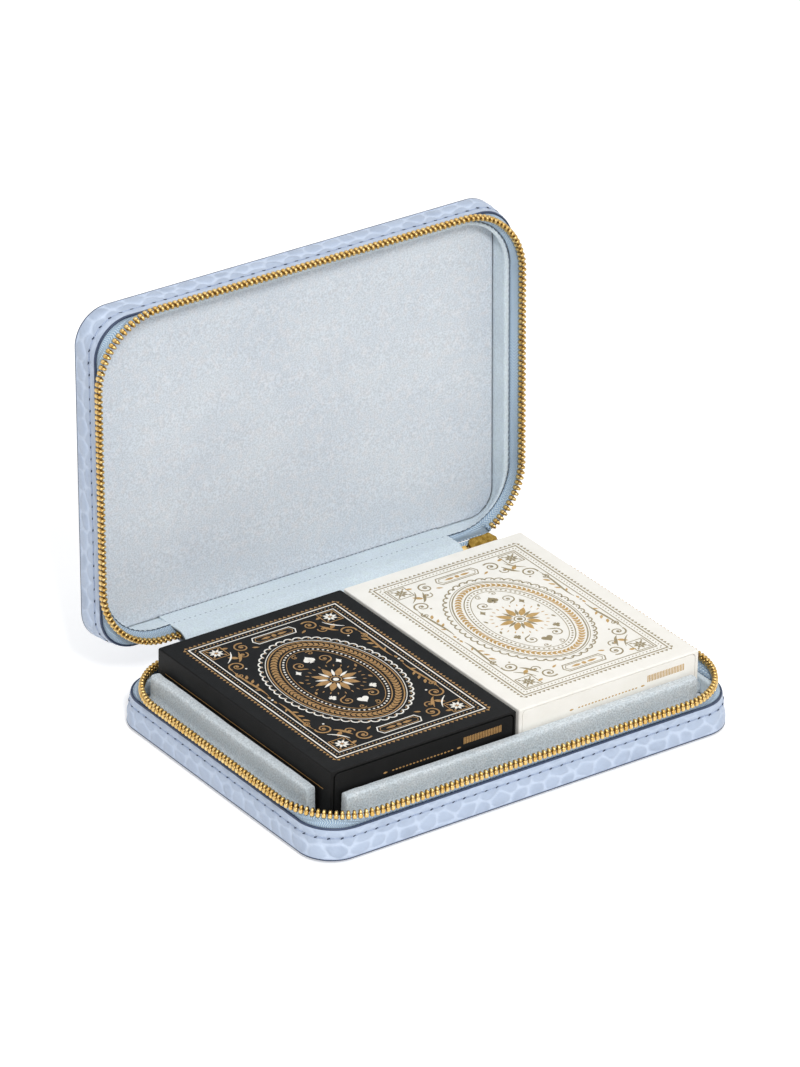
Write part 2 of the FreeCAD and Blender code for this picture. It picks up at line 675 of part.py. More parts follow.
def bars():
    """Four bars: the sides stop short of the front wall, the back one short of the hinge."""
    half = "sizes.bar_thickness / 2"
    side_front = "-layout.cavity_half_y + sizes.side_bar_front_gap"
    side_back = "layout.cavity_half_y - sizes.side_bar_back_gap"
    middle = f"(({side_front}) + ({side_back})) / 2"
    side_half = f"(({side_back}) - ({side_front})) / 2"
    side_x = f"layout.bar_inner_x + {half}"
    front_half = "layout.cavity_half_x - sizes.front_bar_end_gap"
    back_half = "layout.hinge_suede_half - sizes.back_bar_end"
    pieces = bar("left", (f"-({side_x})", middle), (half, side_half))
    pieces += bar("right", (side_x, middle), (half, side_half))
    pieces += bar("front", ("0", f"-(layout.front_bar_inner + {half})"), (front_half, half))
    pieces += bar("back", ("0", f"layout.back_bar_inner + {half}"), (back_half, half))
    return pieces


# ---------------------------------------------------------------- decks

def deck(name, left):
    """A tuck box with its glued end, its tuck flap and the cards inside."""
    right = f"{left} + layout.deck_width"
    low = "layout.floor_level"
    top = "layout.deck_top"
    wall = "sizes.tuck_board"
    fit = "sizes.tuck_clearance"
    front = "layout.deck_front"
    back = "layout.deck_back"

    sleeve = new_body(f"{name}_deck_sleeve")
    outside = new_sketch(sleeve, "XZ_Plane", f"-({back} - {wall})")
    corner_outline(outside, ((left, low), (right, low), (right, top), (left, top)))
    pad(sleeve, outside, f"layout.deck_length - 2 * {wall}")
    inside = new_sketch(sleeve, "XZ_Plane", f"-({back} - {wall})")
    corner_outline(inside, (
        (f"{left} + {wall}", f"{low} + {wall}"), (f"{right} - {wall}", f"{low} + {wall}"),
        (f"{right} - {wall}", f"{top} - {wall}"), (f"{left} + {wall}", f"{top} - {wall}")))
    pocket(sleeve, inside, f"layout.deck_length - 2 * {wall}")
    notch = new_sketch(sleeve, "XY_Plane", low)
    middle = f"{left} + layout.deck_width / 2"
    circle_outline(notch, middle, f"{back} - {wall}", "sizes.thumb_notch")
    pocket(sleeve, notch, wall)

    end = new_body(f"{name}_deck_end_panel")
    plate = new_sketch(end, "XZ_Plane", f"-({front} + {wall})")
    side = "sizes.end_panel_side"
    cut = "sizes.end_panel_corner"
    high = f"{top} - sizes.end_panel_drop"
    corner_outline(plate, (
        (f"{left} + {side}", low), (f"{right} - {side}", low),
        (f"{right} - {side}", f"{high} - {cut}"), (f"{right} - {side} - {cut}", high),
        (f"{left} + {side} + {cut}", high), (f"{left} + {side}", f"{high} - {cut}")))
    pad(end, plate, wall)

    flap = new_body(f"{name}_deck_tuck_flap")
    cover = new_sketch(flap, "XZ_Plane", f"-({back})")
    corner_outline(cover, ((left, low), (right, low), (right, top), (left, top)))
    pad(flap, cover, wall)
    tongue = new_sketch(flap, "XY_Plane", f"{low} + {wall} + {fit}")
    inner = f"{wall} + sizes.tongue_side"
    tip = f"{back} - {wall} - sizes.tongue_length"
    corner_outline(tongue, (
        (f"{left} + {inner}", f"{back} - {wall}"), (f"{left} + {inner}", f"{tip} + {inner}"),
        (f"{left} + 2 * ({inner})", tip), (f"{right} - 2 * ({inner})", tip),
        (f"{right} - ({inner})", f"{tip} + {inner}"),
        (f"{right} - ({inner})", f"{back} - {wall}")))
    pad(flap, tongue, wall)

    cards = new_body(f"{name}_deck_cards")
    stack = new_sketch(cards, "XY_Plane", "layout.cards_low")
    centre_y = f"({front} + {back}) / 2"
    half_length = "sizes.card_length / 2"
    half_card = "sizes.card_width / 2"
    rounded_outline(
        stack, f"{middle} + {half_card}", f"{half_card} - ({middle})",
        f"{centre_y} + {half_length}", f"{half_length} - ({centre_y})", "sizes.card_corner")
    pad(cards, stack, "sizes.card_stack")
    return [sleeve, end, flap, cards]


# ---------------------------------------------------------------- tail, slider and pull

def tail_tape():
    """The joined ends of both tapes: two strips, a cross strip and a tongue sewn in."""
    body = new_body("zip_tail_tape")
    start = "layout.tail_start"
    end = f"{start} + sizes.tail_length"
    cross = f"{start} + sizes.tail_cross"
    middle = "layout.parting"
    outer = "sizes.tail_half_height"
    inner = "sizes.tail_slot_half"
    sketch = new_sketch(body, "XZ_Plane", "-(layout.row_back + sizes.tape / 2)")
    corner_outline(sketch, (
        (start, f"{middle} - {outer}"), (end, f"{middle} - {outer}"),
        (end, f"{middle} - {inner}"), (cross, f"{middle} - {inner}"),
        (cross, f"{middle} + {inner}"), (end, f"{middle} + {inner}"),
        (end, f"{middle} + {outer}"), (start, f"{middle} + {outer}")))
    pad(body, sketch, "sizes.tape")
    tongue = new_sketch(body, "XY_Plane", f"{middle} - sizes.tongue_half")
    near = "layout.row_back - sizes.tape / 2"
    far = "layout.hinge_y - sizes.tongue_axis_gap"
    sewn = f"{start} - sizes.tongue_reach"
    corner_outline(tongue, ((sewn, near), (cross, near), (cross, far), (sewn, far)))
    pad(body, tongue, "2 * sizes.tongue_half")
    return body


def tail_teeth():
    """The few teeth of both rows that stay engaged between bottom stop and slider."""
    pitch = read("sizes.tooth_pitch")
    start = read("layout.slider_rear")
    end = read("layout.tail_start + sizes.tail_length")
    singles = (tooth("base"), tooth("lid"))
    row_back = read("layout.row_back")
    row = []
    x = start
    while x + pitch / 2 < end:
        row.append(placed(singles[len(row) % 2], FreeCAD.Vector(x, row_back, 0),
                          FreeCAD.Vector(1, 0, 0)))
        x += pitch / 2
    return part_feature("zip_tail_teeth", Part.makeCompound(row))


def bottom_stop():
    """The clamp that ends the zip."""
    body = new_body("zip_bottom_stop")
    start = "layout.tail_start + sizes.tail_cross + sizes.bottom_stop_gap"
    end = f"{start} + sizes.bottom_stop_length"
    low = "layout.parting - sizes.bottom_stop_half"
    high = "layout.parting + sizes.bottom_stop_half"
    half = "sizes.tooth_width / 2"
    sketch = new_sketch(body, "XZ_Plane", f"-(layout.row_back + {half})")
    corner_outline(sketch, ((start, low), (end, low), (end, high), (start, high)))
    pad(body, sketch, "sizes.tooth_width")
    return body


def slider_body():
    """The slider: two plates joined by a wedge at the mouth, flanges, and the pull's arch."""
    body = new_body("zip_slider_body")
    rear = "layout.slider_rear"
    mouth = f"{rear} + sizes.slider_length"
    middle = "layout.parting"
    wide = "sizes.slider_mouth_half"
    narrow = "sizes.slider_rear_half"
    nose = "sizes.slider_nose"
    room = "layout.slider_half_room"
    flanged = f"{rear} + sizes.flange_length"
    plate = (
        (rear, f"{middle} - {narrow} + {nose}"), (f"{rear} + {nose}", f"{middle} - {narrow}"),
        (flanged, f"{middle} - {narrow}"), (f"{mouth} - 2 * {nose}", f"{middle} - {wide}"),
        (mouth, f"{middle} - {wide} + 2 * {nose}"), (mouth, f"{middle} + {wide} - 2 * {nose}"),
        (f"{mouth} - 2 * {nose}", f"{middle} + {wide}"), (flanged, f"{middle} + {narrow}"),
        (f"{rear} + {nose}", f"{middle} + {narrow}"), (rear, f"{middle} + {narrow} - {nose}"))
    inner_face = f"layout.row_back - {room}"
    outer_face = f"layout.row_back + {room}"
    lower = new_sketch(body, "XZ_Plane", f"-({inner_face})")
    corner_outline(lower, plate)
    pad(body, lower, "sizes.slider_plate")
    wedge = new_sketch(body, "XZ_Plane", f"-({outer_face})")
    front = f"{mouth} - sizes.neck_set_in"
    corner_outline(wedge, (
        (f"{front} - sizes.neck_length", middle), (front, f"{middle} - sizes.neck_half"),
        (front, f"{middle} + sizes.neck_half")))
    pad(body, wedge, f"2 * {room}")
    upper = new_sketch(body, "XZ_Plane", "-layout.plate_top")
    corner_outline(upper, plate)
    pad(body, upper, "sizes.slider_plate")
    edge = "sizes.flange_thick"
    for side in ("-", "+"):
        start = f"{middle} {side} {narrow}"
        stop = f"{middle} {side} ({narrow} - {edge})"
        strip = ((f"{rear} + {nose}", start), (flanged, start), (flanged, stop),
                 (f"{rear} + {nose}", stop))
        for face in (f"{inner_face} + sizes.flange_height", outer_face):
            sketch = new_sketch(body, "XZ_Plane", f"-({face})")
            corner_outline(sketch, strip)
            pad(body, sketch, "sizes.flange_height")
    arch(body)
    return body


def arch(body):
    """The arch on the slider's outer plate, with the window that the pull's bar runs in."""
    middle_x = "layout.slider_middle"
    half = "sizes.crown_length / 2"
    low = "layout.plate_top"
    top = f"{low} + sizes.crown_height"
    cut = "sizes.crown_chamfer"
    sketch = new_sketch(body, "XY_Plane", "layout.parting - sizes.crown_thick / 2")
    corner_outline(sketch, (
        (f"{middle_x} - {half}", low), (f"{middle_x} + {half}", low),
        (f"{middle_x} + {half}", f"{top} - {cut}"), (f"{middle_x} + {half} - {cut}", top),
        (f"{middle_x} - {half} + {cut}", top), (f"{middle_x} - {half}", f"{top} - {cut}")))
    pad(body, sketch, "sizes.crown_thick")
    window = new_sketch(body, "XY_Plane", "layout.parting - sizes.crown_thick / 2")
    reach = "sizes.crown_window_length / 2"
    sill = f"{low} + sizes.crown_window_low"
    head = f"{sill} + sizes.crown_window_height"
    corner_outline(window, (
        (f"{middle_x} - {reach}", sill), (f"{middle_x} + {reach}", sill),
        (f"{middle_x} + {reach}", head), (f"{middle_x} - {reach}", head)))
    pocket(body, window, "sizes.crown_thick")


def pull_tab():
    """The pull: a flat tab whose eye takes in the arch, pointing straight out at rest."""
    body = new_body("zip_pull_tab")
    thick = "sizes.pull_bar"
    middle = "layout.parting"
    pivot = "layout.pivot_y"
    near = f"{pivot} - {thick} / 2"
    tip = f"{pivot} + sizes.pull_length"
    half = "sizes.pull_width / 2"
    tip_half = "sizes.pull_tip_width / 2"
    shoulder = f"{pivot} + sizes.pull_shoulder"
    cut = "sizes.pull_end_cut"
    plate = new_sketch(body, "YZ_Plane", f"layout.slider_middle - {thick} / 2")
    corner_outline(plate, (
        (near, f"{middle} - {half}"), (shoulder, f"{middle} - {half}"),
        (f"{tip} - {cut}", f"{middle} - {tip_half}"), (tip, f"{middle} - {tip_half} + {cut}"),
        (tip, f"{middle} + {tip_half} - {cut}"), (f"{tip} - {cut}", f"{middle} + {tip_half}"),
        (shoulder, f"{middle} + {half}"), (near, f"{middle} + {half}")))
    pad(body, plate, thick)
    eye = new_sketch(body, "YZ_Plane", f"layout.slider_middle - {thick} / 2")
    eye_half = "sizes.pull_eye_width / 2"
    start = f"{pivot} + {thick} / 2"
    end = f"{pivot} + sizes.pull_eye_reach"
    corner_outline(eye, (
        (start, f"{middle} - {eye_half}"), (end, f"{middle} - {eye_half}"),
        (end, f"{middle} + {eye_half}"), (start, f"{middle} + {eye_half}")))
    pocket(body, eye, thick)
    return body


# ---------------------------------------------------------------- assembly

def build_half(half, panel, board_level, pad_level, floor):
    """Everything that belongs to the base or the lid alone."""
    pieces = [panel_leather(half, panel), wall_leather(half, panel)]
    pieces.append(board_tray(half, panel, board_level))
    pieces += floor_layers(half, board_level, pad_level, floor)
    pieces.append(wall_lining(half, board_level))
    pieces += [zip_tape(half), zip_teeth(half), top_stop(half)]
    pieces += [spine_leaf(half), hinge_lining_leaf(half, floor)]
    return pieces


def turn(pieces, angle):
    """Turns pieces about the hinge line, away from closed."""
    line = FreeCAD.Vector(0, read("layout.hinge_y"), read("layout.parting"))
    rotation = FreeCAD.Rotation(FreeCAD.Vector(1, 0, 0), -angle)
    for piece in pieces:
        piece.Placement = FreeCAD.Placement(FreeCAD.Vector(), rotation, line)


base = build_half("base", "sizes.base_panel", "layout.base_board_level",
                  "layout.base_pad_level", "layout.floor_level")
base += bars()
decks = deck("black", "-layout.decks_half")
decks += deck("white", "sizes.deck_gap / 2")
lid = build_half("lid", "sizes.lid_panel", "layout.lid_board_level",
                 "layout.lid_pad_level", "layout.lid_floor_level")
tail = [tail_tape(), tail_teeth(), bottom_stop(), slider_body(), pull_tab()]
open_angle = read("sizes.lid_open_angle")
turn(lid, open_angle)
turn(tail, open_angle / 2)
doc.recompute()

pieces = base + decks + lid + tail
for item in doc.Objects:
    if {"Invalid", "Error"} & set(item.State):
        raise RuntimeError(f"{item.Label} failed: {item.State}")
for piece in pieces:
    if piece.Shape.isNull() or not piece.Shape.isValid():
        raise RuntimeError(f"{piece.Label} has no valid shape")

os.makedirs("parts", exist_ok=True)
for piece in pieces:
    piece.Shape.exportStep(f"parts/{piece.Label}.step")
    print(piece.Label, len(piece.Shape.Solids), round(piece.Shape.Volume, 2))
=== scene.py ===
import math

import bmesh
import bpy
import numpy as np
from mathutils import Matrix, Vector


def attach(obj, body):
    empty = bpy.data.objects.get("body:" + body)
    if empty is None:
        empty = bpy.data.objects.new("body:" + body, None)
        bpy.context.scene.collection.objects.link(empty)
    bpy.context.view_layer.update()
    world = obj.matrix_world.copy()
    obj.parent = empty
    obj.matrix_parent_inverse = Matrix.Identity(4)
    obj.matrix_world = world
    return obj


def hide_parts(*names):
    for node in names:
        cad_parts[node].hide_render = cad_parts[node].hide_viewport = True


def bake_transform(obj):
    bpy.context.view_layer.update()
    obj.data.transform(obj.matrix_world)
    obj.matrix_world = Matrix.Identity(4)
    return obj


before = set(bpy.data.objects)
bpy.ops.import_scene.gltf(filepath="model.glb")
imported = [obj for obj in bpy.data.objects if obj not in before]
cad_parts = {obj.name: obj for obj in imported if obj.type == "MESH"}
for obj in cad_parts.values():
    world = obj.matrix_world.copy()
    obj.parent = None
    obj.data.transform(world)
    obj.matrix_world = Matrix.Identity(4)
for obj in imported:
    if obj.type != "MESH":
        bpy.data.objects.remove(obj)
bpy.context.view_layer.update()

# A zip-around leather case for two boxes of playing cards, with its lid open at 92 degrees.
# Sizes here are in millimetres and turn to metres in one place, settle().  Both halves are
# drawn in one way: x along the hinge, y back to it, and a level above the half's outer face.

MM = 0.001
CLOSED = 31.2                 # the two halves together
PARTING = 15.6                # where they meet
HINGE_Y = 56.25               # hinge line, behind the back wall
OPEN = math.radians(92)       # lid at rest, from closed
SIDE, END, CORNER = 76.1, 54.65, 12.0        # the case's plan: half width, half depth, corner
ROW_SIDE, ROW_FRONT, ROW_BACK, ROW_CORNER = 76.7, 55.25, 53.15, 22.0   # the zip's rows
PITCH = 1.75                  # one tooth to the next
TEETH = 212                   # in each row
TOOTH_FOOT = 13.4
TAPE_THICK = 0.2              # half of it
FIRST_TOOTH_X, TAPE_START_X = 65.0, 64.3     # right of the slider
WALL_TOP = 11.1               # leather's edge at the mouth
LINING_EDGE = 1.72            # the suede's edge, in from the wall's face
MOUTH_BACK, MOUTH_BACK_LEAST, MOUTH_CORNER = 52.55, 50.75, 19.0   # its outline in the lid
CAVITY_Y = 51.25              # back of the cavity, inside the wall's lining
FLOOR = 6.2                   # suede floor of the base
LID_FLOOR = 4.8               # suede of the lid, from its outer face
BEND = (PARTING - 0.6, PARTING + 0.6)    # levels between which strips over the hinge bend
SPINE_HALF = 50.0             # half length of the leather over the hinge
HINGE_SUEDE_HALF = 51.0       # half length of the suede over the hinge
DECK_W, DECK_L, DECK_H = 66.0, 90.0, 19.0    # tuck box
DECK_FRONT = -45.45
DECK_LEFT = {"black": -66.5, "white": 0.5}    # left edge of each
PRINT_LEVEL = 17.5            # where the print on a box's walls is measured from
INK_TOP, INK_FOOT = 0.03, -0.02      # print stands this far off the card, and is sunk in it


# ---- placing and meshing

def opened(points, share=1.0):
    """Points of the closed case, turned back about the hinge line with the lid."""
    points = np.array(points, float)
    angle = -OPEN * np.broadcast_to(share, points.shape[:1])
    y, z = points[:, 1] - HINGE_Y, points[:, 2] - PARTING
    points[:, 1] = HINGE_Y + y * np.cos(angle) - z * np.sin(angle)
    points[:, 2] = PARTING + y * np.sin(angle) + z * np.cos(angle)
    return points


def settle(points, body):
    """Points to where their body rests, in metres; the zip's tail opens half way."""
    points = np.array(points, float)
    if body == "lid":
        points[:, 2] = CLOSED - points[:, 2]
        points = opened(points)
    elif body == "zip_tail":
        points = opened(points, 0.5)
    return points * MM


def at_level(path, level):
    """Points in plan, at one level."""
    return np.column_stack([path, np.full(len(path), level)])


def linked(name, data):
    """An object in the scene."""
    item = bpy.data.objects.new(name, data)
    bpy.context.scene.collection.objects.link(item)
    return item


def plain_mesh(name, points, faces):
    """A mesh from lists of points and faces."""
    mesh = bpy.data.meshes.new(name)
    mesh.from_pydata([tuple(p) for p in np.asarray(points, float)], [],
                     [tuple(int(i) for i in face) for face in faces])
    return mesh


def add_piece(name, body, slot, points, faces, finishes, *nodes, smooth=True, marks=None,
              picks=None, held=None, cap=0.0):
    """A closed piece from points in millimetres, on its body, in place of its CAD nodes; slot
    is not used.

    body is a name, or for a piece bent over the hinge a pair of points that is not used.  marks
    are attributes on its points, picks choose a finish by face.  held and cap are for swell()."""
    mesh = plain_mesh(name, settle(points, body), faces)
    mesh.update()
    for material in finishes:
        mesh.materials.append(material)
    if picks is not None:
        mesh.polygons.foreach_set("material_index", np.asarray(picks, np.int32))
    for mark, values in (marks or {}).items():
        layer = mesh.attributes.new(mark, "FLOAT", "POINT")
        layer.data.foreach_set("value", np.asarray(values, np.float32))
    if smooth:
        mesh.shade_smooth()
    piece = linked(name, mesh)
    work = bmesh.new()
    work.from_mesh(mesh)
    bmesh.ops.recalc_face_normals(work, faces=work.faces)
    work.to_mesh(mesh)
    work.free()
    if held is not None:
        swell(piece, held, cap)
    if isinstance(body, str):
        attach(piece, body)
    else:
        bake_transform(piece)
    if nodes:
        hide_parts(*nodes)
    return piece


def grid(rows, columns, wrap_rows=False, wrap_columns=False, start=0):
    """Quads over a grid of points, numbered row by row."""
    last_row = rows if wrap_rows else rows - 1
    last_column = columns if wrap_columns else columns - 1
    r, c = np.meshgrid(np.arange(last_row), np.arange(last_column), indexing="ij")
    r, c = r.ravel(), c.ravel()
    up, along = (r + 1) % rows, (c + 1) % columns
    quads = np.stack([r * columns + c, r * columns + along,
                      up * columns + along, up * columns + c], axis=1)
    return quads + start


# ---- plans

def plan(side, back, front, corner, step=0.5):
    """Closed outline, clockwise from the middle of the back: points and outward normals.

    The counts depend on the step alone, so two outlines with the same step match."""
    half_back = round((SIDE - CORNER) / step)
    along_side = round(2 * (END - CORNER) / step)
    turn = round(math.pi / 2 * CORNER / step)
    x, top, low = side - corner, back - corner, corner - front
    points, normals = [], []
    for first, last, count, bearing, centre in (
            ((0, back), (x, back), half_back, 90, (x, top)),
            ((side, top), (side, low), along_side, 0, (x, low)),
            ((x, -front), (-x, -front), 2 * half_back, -90, (-x, low)),
            ((-side, low), (-side, top), along_side, 180, (-x, top)),
            ((-x, back), (0, back), half_back, 90, None)):
        # a straight run, and the corner at its end
        first, share = np.array(first, float), np.arange(count)[:, None] / count
        points.append(first + share * (last - first))
        angle = math.radians(bearing) - np.arange(turn) / turn * math.pi / 2
        normal = np.stack([np.cos(angle), np.sin(angle)], axis=1)
        normals.append(np.repeat(normal[:1], count, axis=0))
        if centre:
            points.append(np.array(centre) + corner * normal)
            normals.append(normal)
    return np.concatenate(points), np.concatenate(normals)


def run_length(points):
    """Distance along a closed outline at each point, and its whole length."""
    steps = np.linalg.norm(np.roll(points, -1, axis=0) - points, axis=1)
    return np.concatenate([[0], np.cumsum(steps)[:-1]]), steps.sum()


def row_distance(x):
    """Distance along the teeth's centre line to an x on its first corner, behind the slider."""
    straight = ROW_SIDE - ROW_CORNER
    return straight + ROW_CORNER * math.asin((x - straight) / ROW_CORNER)


def point_at(points, along, total, distance):
    """Places at distances along a closed outline."""
    distance = np.asarray(distance) % total
    xs = np.append(along, total)
    ring = np.vstack([points, points[:1]])
    return np.stack([np.interp(distance, xs, ring[:, 0]),
                     np.interp(distance, xs, ring[:, 1])], axis=1)


# ---- materials

def linear(code):
    """An sRGB hex colour as Blender's linear RGBA."""
    values = [int(code[i:i + 2], 16) / 255 for i in (1, 3, 5)]
    return tuple(v / 12.92 if v <= 0.04045 else ((v + 0.055) / 1.055) ** 2.4
                 for v in values) + (1.0,)


def feed(tree, socket, value):
    """Gives an input a value, an sRGB hex colour, an output, or a node's first output."""
    if isinstance(value, bpy.types.Node):
        value = value.outputs[0]
    if isinstance(value, bpy.types.NodeSocket):
        tree.links.new(value, socket)
    else:
        socket.default_value = linear(value) if isinstance(value, str) else value


def add(tree, kind, settings=None, inputs=None):
    """Adds a node and feeds its inputs."""
    node = tree.nodes.new(kind)
    for name, value in (settings or {}).items():
        setattr(node, name, value)
    for key, value in (inputs or {}).items():
        feed(tree, node.inputs[key], value)
    return node


def maths(tree, operation, *values):
    return add(tree, "ShaderNodeMath", {"operation": operation}, dict(enumerate(values)))


def empty_tree(owner):
    """The node tree of a material or a world, with nothing in it."""
    owner.use_nodes = True
    owner.node_tree.nodes.clear()
    return owner.node_tree


def new_material(name, **constants):
    """A material with one Principled shader; returns it with its tree and shader."""
    material = bpy.data.materials.new(name)
    tree = empty_tree(material)
    shader = add(tree, "ShaderNodeBsdfPrincipled")
    for key, value in constants.items():
        feed(tree, shader.inputs[key.replace("_", " ")], value)
    add(tree, "ShaderNodeOutputMaterial", inputs={"Surface": shader})
    return material, tree, shader


def blend_colours(tree, share, first, second):
    """Output that goes from one colour to another."""
    return add(tree, "ShaderNodeMix", {"data_type": "RGBA"},
               {0: share, 6: first, 7: second}).outputs[2]


def map_range(tree, value, **limits):
    return add(tree, "ShaderNodeMapRange", {}, {
        "Value": value, **{key.replace("_", " "): limit for key, limit in limits.items()}})


def speckle(tree, size, detail=2.0, low=0.35, high=0.65):
    """Noise with features of a size in millimetres, stretched to run from 0 to 1."""
    place = add(tree, "ShaderNodeTexCoord").outputs["Object"]
    noise = add(tree, "ShaderNodeTexNoise", {}, {
        "Vector": place, "Scale": 1 / (size * MM), "Detail": detail})
    return map_range(tree, noise.outputs["Fac"], From_Min=low, From_Max=high)


def attribute(tree, name):
    """A mark that the mesh carries on its points."""
    return add(tree, "ShaderNodeAttribute", {"attribute_name": name}).outputs["Fac"]


def surface(tree, shader, colour, rough=None, height=None, depth=0.0):
    """Gives a shader its colour, its roughness, and bump of a depth in millimetres."""
    feed(tree, shader.inputs["Base Color"], colour)
    if rough is not None:
        feed(tree, shader.inputs["Roughness"], rough)
    if height is not None:
        bump = add(tree, "ShaderNodeBump", {}, {"Height": height, "Distance": depth * MM})
        feed(tree, shader.inputs["Normal"], bump)


def croc_leather():
    """Cowhide embossed with crocodile scales, pigment finish: satin scales, paler creases."""
    material, tree, shader = new_material("croc_leather", Roughness=0.42, IOR=1.5,
                                          Coat_Weight=0.12, Coat_Roughness=0.3)
    crease = attribute(tree, "crease")
    scale = blend_colours(tree, attribute(tree, "tone"), "#A6B4CA", "#B8C6DB")
    scale = blend_colours(tree, speckle(tree, 4.0, 3.0), scale, "#B4C2D8")
    surface(tree, shader, blend_colours(tree, crease, scale, "#C9D6EA"),
            map_range(tree, crease, To_Min=0.40, To_Max=0.55), speckle(tree, 0.7, 3.0), 0.05)
    return material


def suede(name, dark, light, warm, fleck):
    """Microsuede: a short nap that scatters light, with finger marks and stray fibres."""
    material, tree, shader = new_material(name, Roughness=0.95, Sheen_Weight=0.25,
                                          Sheen_Roughness=0.5, Specular_IOR_Level=0.2)
    nap = speckle(tree, 0.5)
    finger_marks = speckle(tree, 24.0, 2.0, 0.3, 0.7)
    stray = speckle(tree, 2.2, 4.0, 0.45, 0.75)
    colour = blend_colours(tree, finger_marks, dark, light)
    colour = blend_colours(tree, maths(tree, "MULTIPLY", stray, 0.5), colour, warm)
    colour = add(tree, "ShaderNodeVectorMath", {"operation": "SCALE"}, {
        0: colour, "Scale": maths(tree, "MULTIPLY_ADD", nap, fleck, 1.0 - fleck / 2)})
    surface(tree, shader, colour, None, nap, 0.10)
    return material


def twill_tape():
    """Polyester zip tape woven in a herringbone; its ribs are drawn 1 mm apart so they show,
    lighter on the crests and darker between, which is painted light and shade.
    """
    material, tree, shader = new_material("zip_tape", Roughness=0.8, Sheen_Weight=0.15)
    fold = maths(tree, "PINGPONG", attribute(tree, "across"), 1.15)
    slant = maths(tree, "ADD", attribute(tree, "along"), fold)
    wave = maths(tree, "SINE", maths(tree, "MULTIPLY", slant, 2 * math.pi))
    rise = map_range(tree, wave, From_Min=-1.0)
    # the colour follows the ribs' height: painted highlight on the crests, painted shade in the
    # furrows
    surface(tree, shader, blend_colours(tree, rise, "#7F9DBD", "#C6D8E4"), None, rise, 0.12)
    return material


def brass(name, bright, shade, hollow_shade, rough):
    """Brass with a pale gold finish, bright where it is rubbed; its hollows and the flanks
    between teeth turn brown, which is painted shade and dark reflection with some patina.
    """
    material, tree, shader = new_material(name, Metallic=1.0, Roughness=rough)
    worn = blend_colours(tree, speckle(tree, 1.5), shade, bright)
    # the mark browns the teeth's feet, waist and flanks: painted shade and dark reflection,
    # with some patina
    surface(tree, shader, blend_colours(tree, attribute(tree, "shade_and_patina"), worn, hollow_shade),
            map_range(tree, speckle(tree, 0.6), To_Min=rough * 0.8, To_Max=rough * 1.3))
    return material


def plain(name, colour, fade, size, rough, depth, mottle=None, **constants):
    """A finish of two near colours with one fine grain, or with a mottle over its grain."""
    material, tree, shader = new_material(name, Roughness=rough, **constants)
    grain = speckle(tree, size, 3.0)
    clouds = speckle(tree, mottle, 4.0) if mottle else grain
    surface(tree, shader, blend_colours(tree, clouds, colour, fade), None, grain, depth)
    return material


def printed_card(name, colour, fade, rough, gloss):
    """Uncoated folding card, printed matt: a faint fibre grain and slight mottling."""
    return plain(name, colour, fade, 0.35, rough, 0.012, 6.0, Specular_IOR_Level=gloss)


LEATHER = croc_leather()
# dark navy edge paint, laid wider than the edges so that it also paints the shade in the gaps
# at the wall's mouth and foot
EDGE_PAINT_AND_SHADE = plain("edge_paint_and_gap_shade", "#26344E", "#33425F", 0.8, 0.5, 0.02)
THREAD = plain("polyester_thread", "#99A8C2", "#AEBCD6", 0.3, 0.6, 0.04)
# dark thread for the lining's seam; over the hinge the same dark stitches paint the shadow
# under the suede's edge
SEAM_THREAD_AND_SHADOW = plain("seam_thread_and_shadow", "#5C6B7E", "#6E7D90", 0.3, 0.6, 0.04)
# a flat dark slit in each needle hole paints the shade inside the hole
NEEDLE_HOLE_SHADE = plain("needle_hole_shade", "#27324A", "#333F59", 0.4, 0.9, 0.01)
SUEDE = suede("suede_lining", "#CBD3DC", "#D2D9E0", "#DDDBDD", 0.24)
BAR_SUEDE = suede("bar_suede", "#BFC9CF", "#CCD4D9", "#D7DADC", 0.36)
SMOOTH_SUEDE = suede("hinge_suede", "#CBD8E2", "#D5E1E9", "#D1DFE1", 0.15)
TAPE = twill_tape()
TEETH_BRASS = brass("brass_teeth", "#E9CC8C", "#D2AA5E", "#62400F", 0.3)
SLIDER_BRASS = brass("brass_slider", "#A98C48", "#7F6429", "#4A3510", 0.26)
GREYBOARD = plain("greyboard", "#6F6C68", "#7B7874", 1.2, 0.9, 0.03)
FOAM = plain("foam", "#D9D9D6", "#E2E2DF", 0.8, 0.95, 0.08)
BLACK_CARD = printed_card("black_tuck_board", "#121212", "#161616", 0.5, 0.11)
IVORY_CARD = printed_card("ivory_tuck_board", "#F1EEE6", "#F5F2EB", 0.6, 0.35)
CARD_STOCK = printed_card("card_stock", "#ECEAE4", "#F4F2EE", 0.5, 0.35)
GOLD_INK = plain("gold_ink", "#A57C46", "#BA9158", 1.0, 0.42, 0.004, Metallic=0.3)
WHITE_INK = plain("white_ink", "#ECE8DF", "#F4F1E9", 0.8, 0.55, 0.004)
PALE_GOLD_INK = plain("pale_gold_ink", "#B9924F", "#C8A466", 1.0, 0.42, 0.004, Metallic=0.2)
OLIVE_INK = plain("olive_ink", "#8A7C5C", "#9A8C6A", 1.0, 0.5, 0.004)


# ---- leather

def scale_centres(left, right, levels, wide, stray, seed, around=False):
    """Staggered rows of scale centres at given levels, each a little astray, with its tone."""
    rng = np.random.default_rng(seed)
    count = max(2, round((right - left) / wide))
    width = (right - left) / count
    tall = levels[1] - levels[0]
    centres = [(left + (column + 0.5 * (row % 2) + 0.5 + stray * (rng.random() - 0.5)) * width,
                level + stray * (rng.random() - 0.5) * tall)
               for row, level in enumerate(levels) for column in range(count)]
    return np.array(centres), rng.random(len(centres)), right - left if around else 0


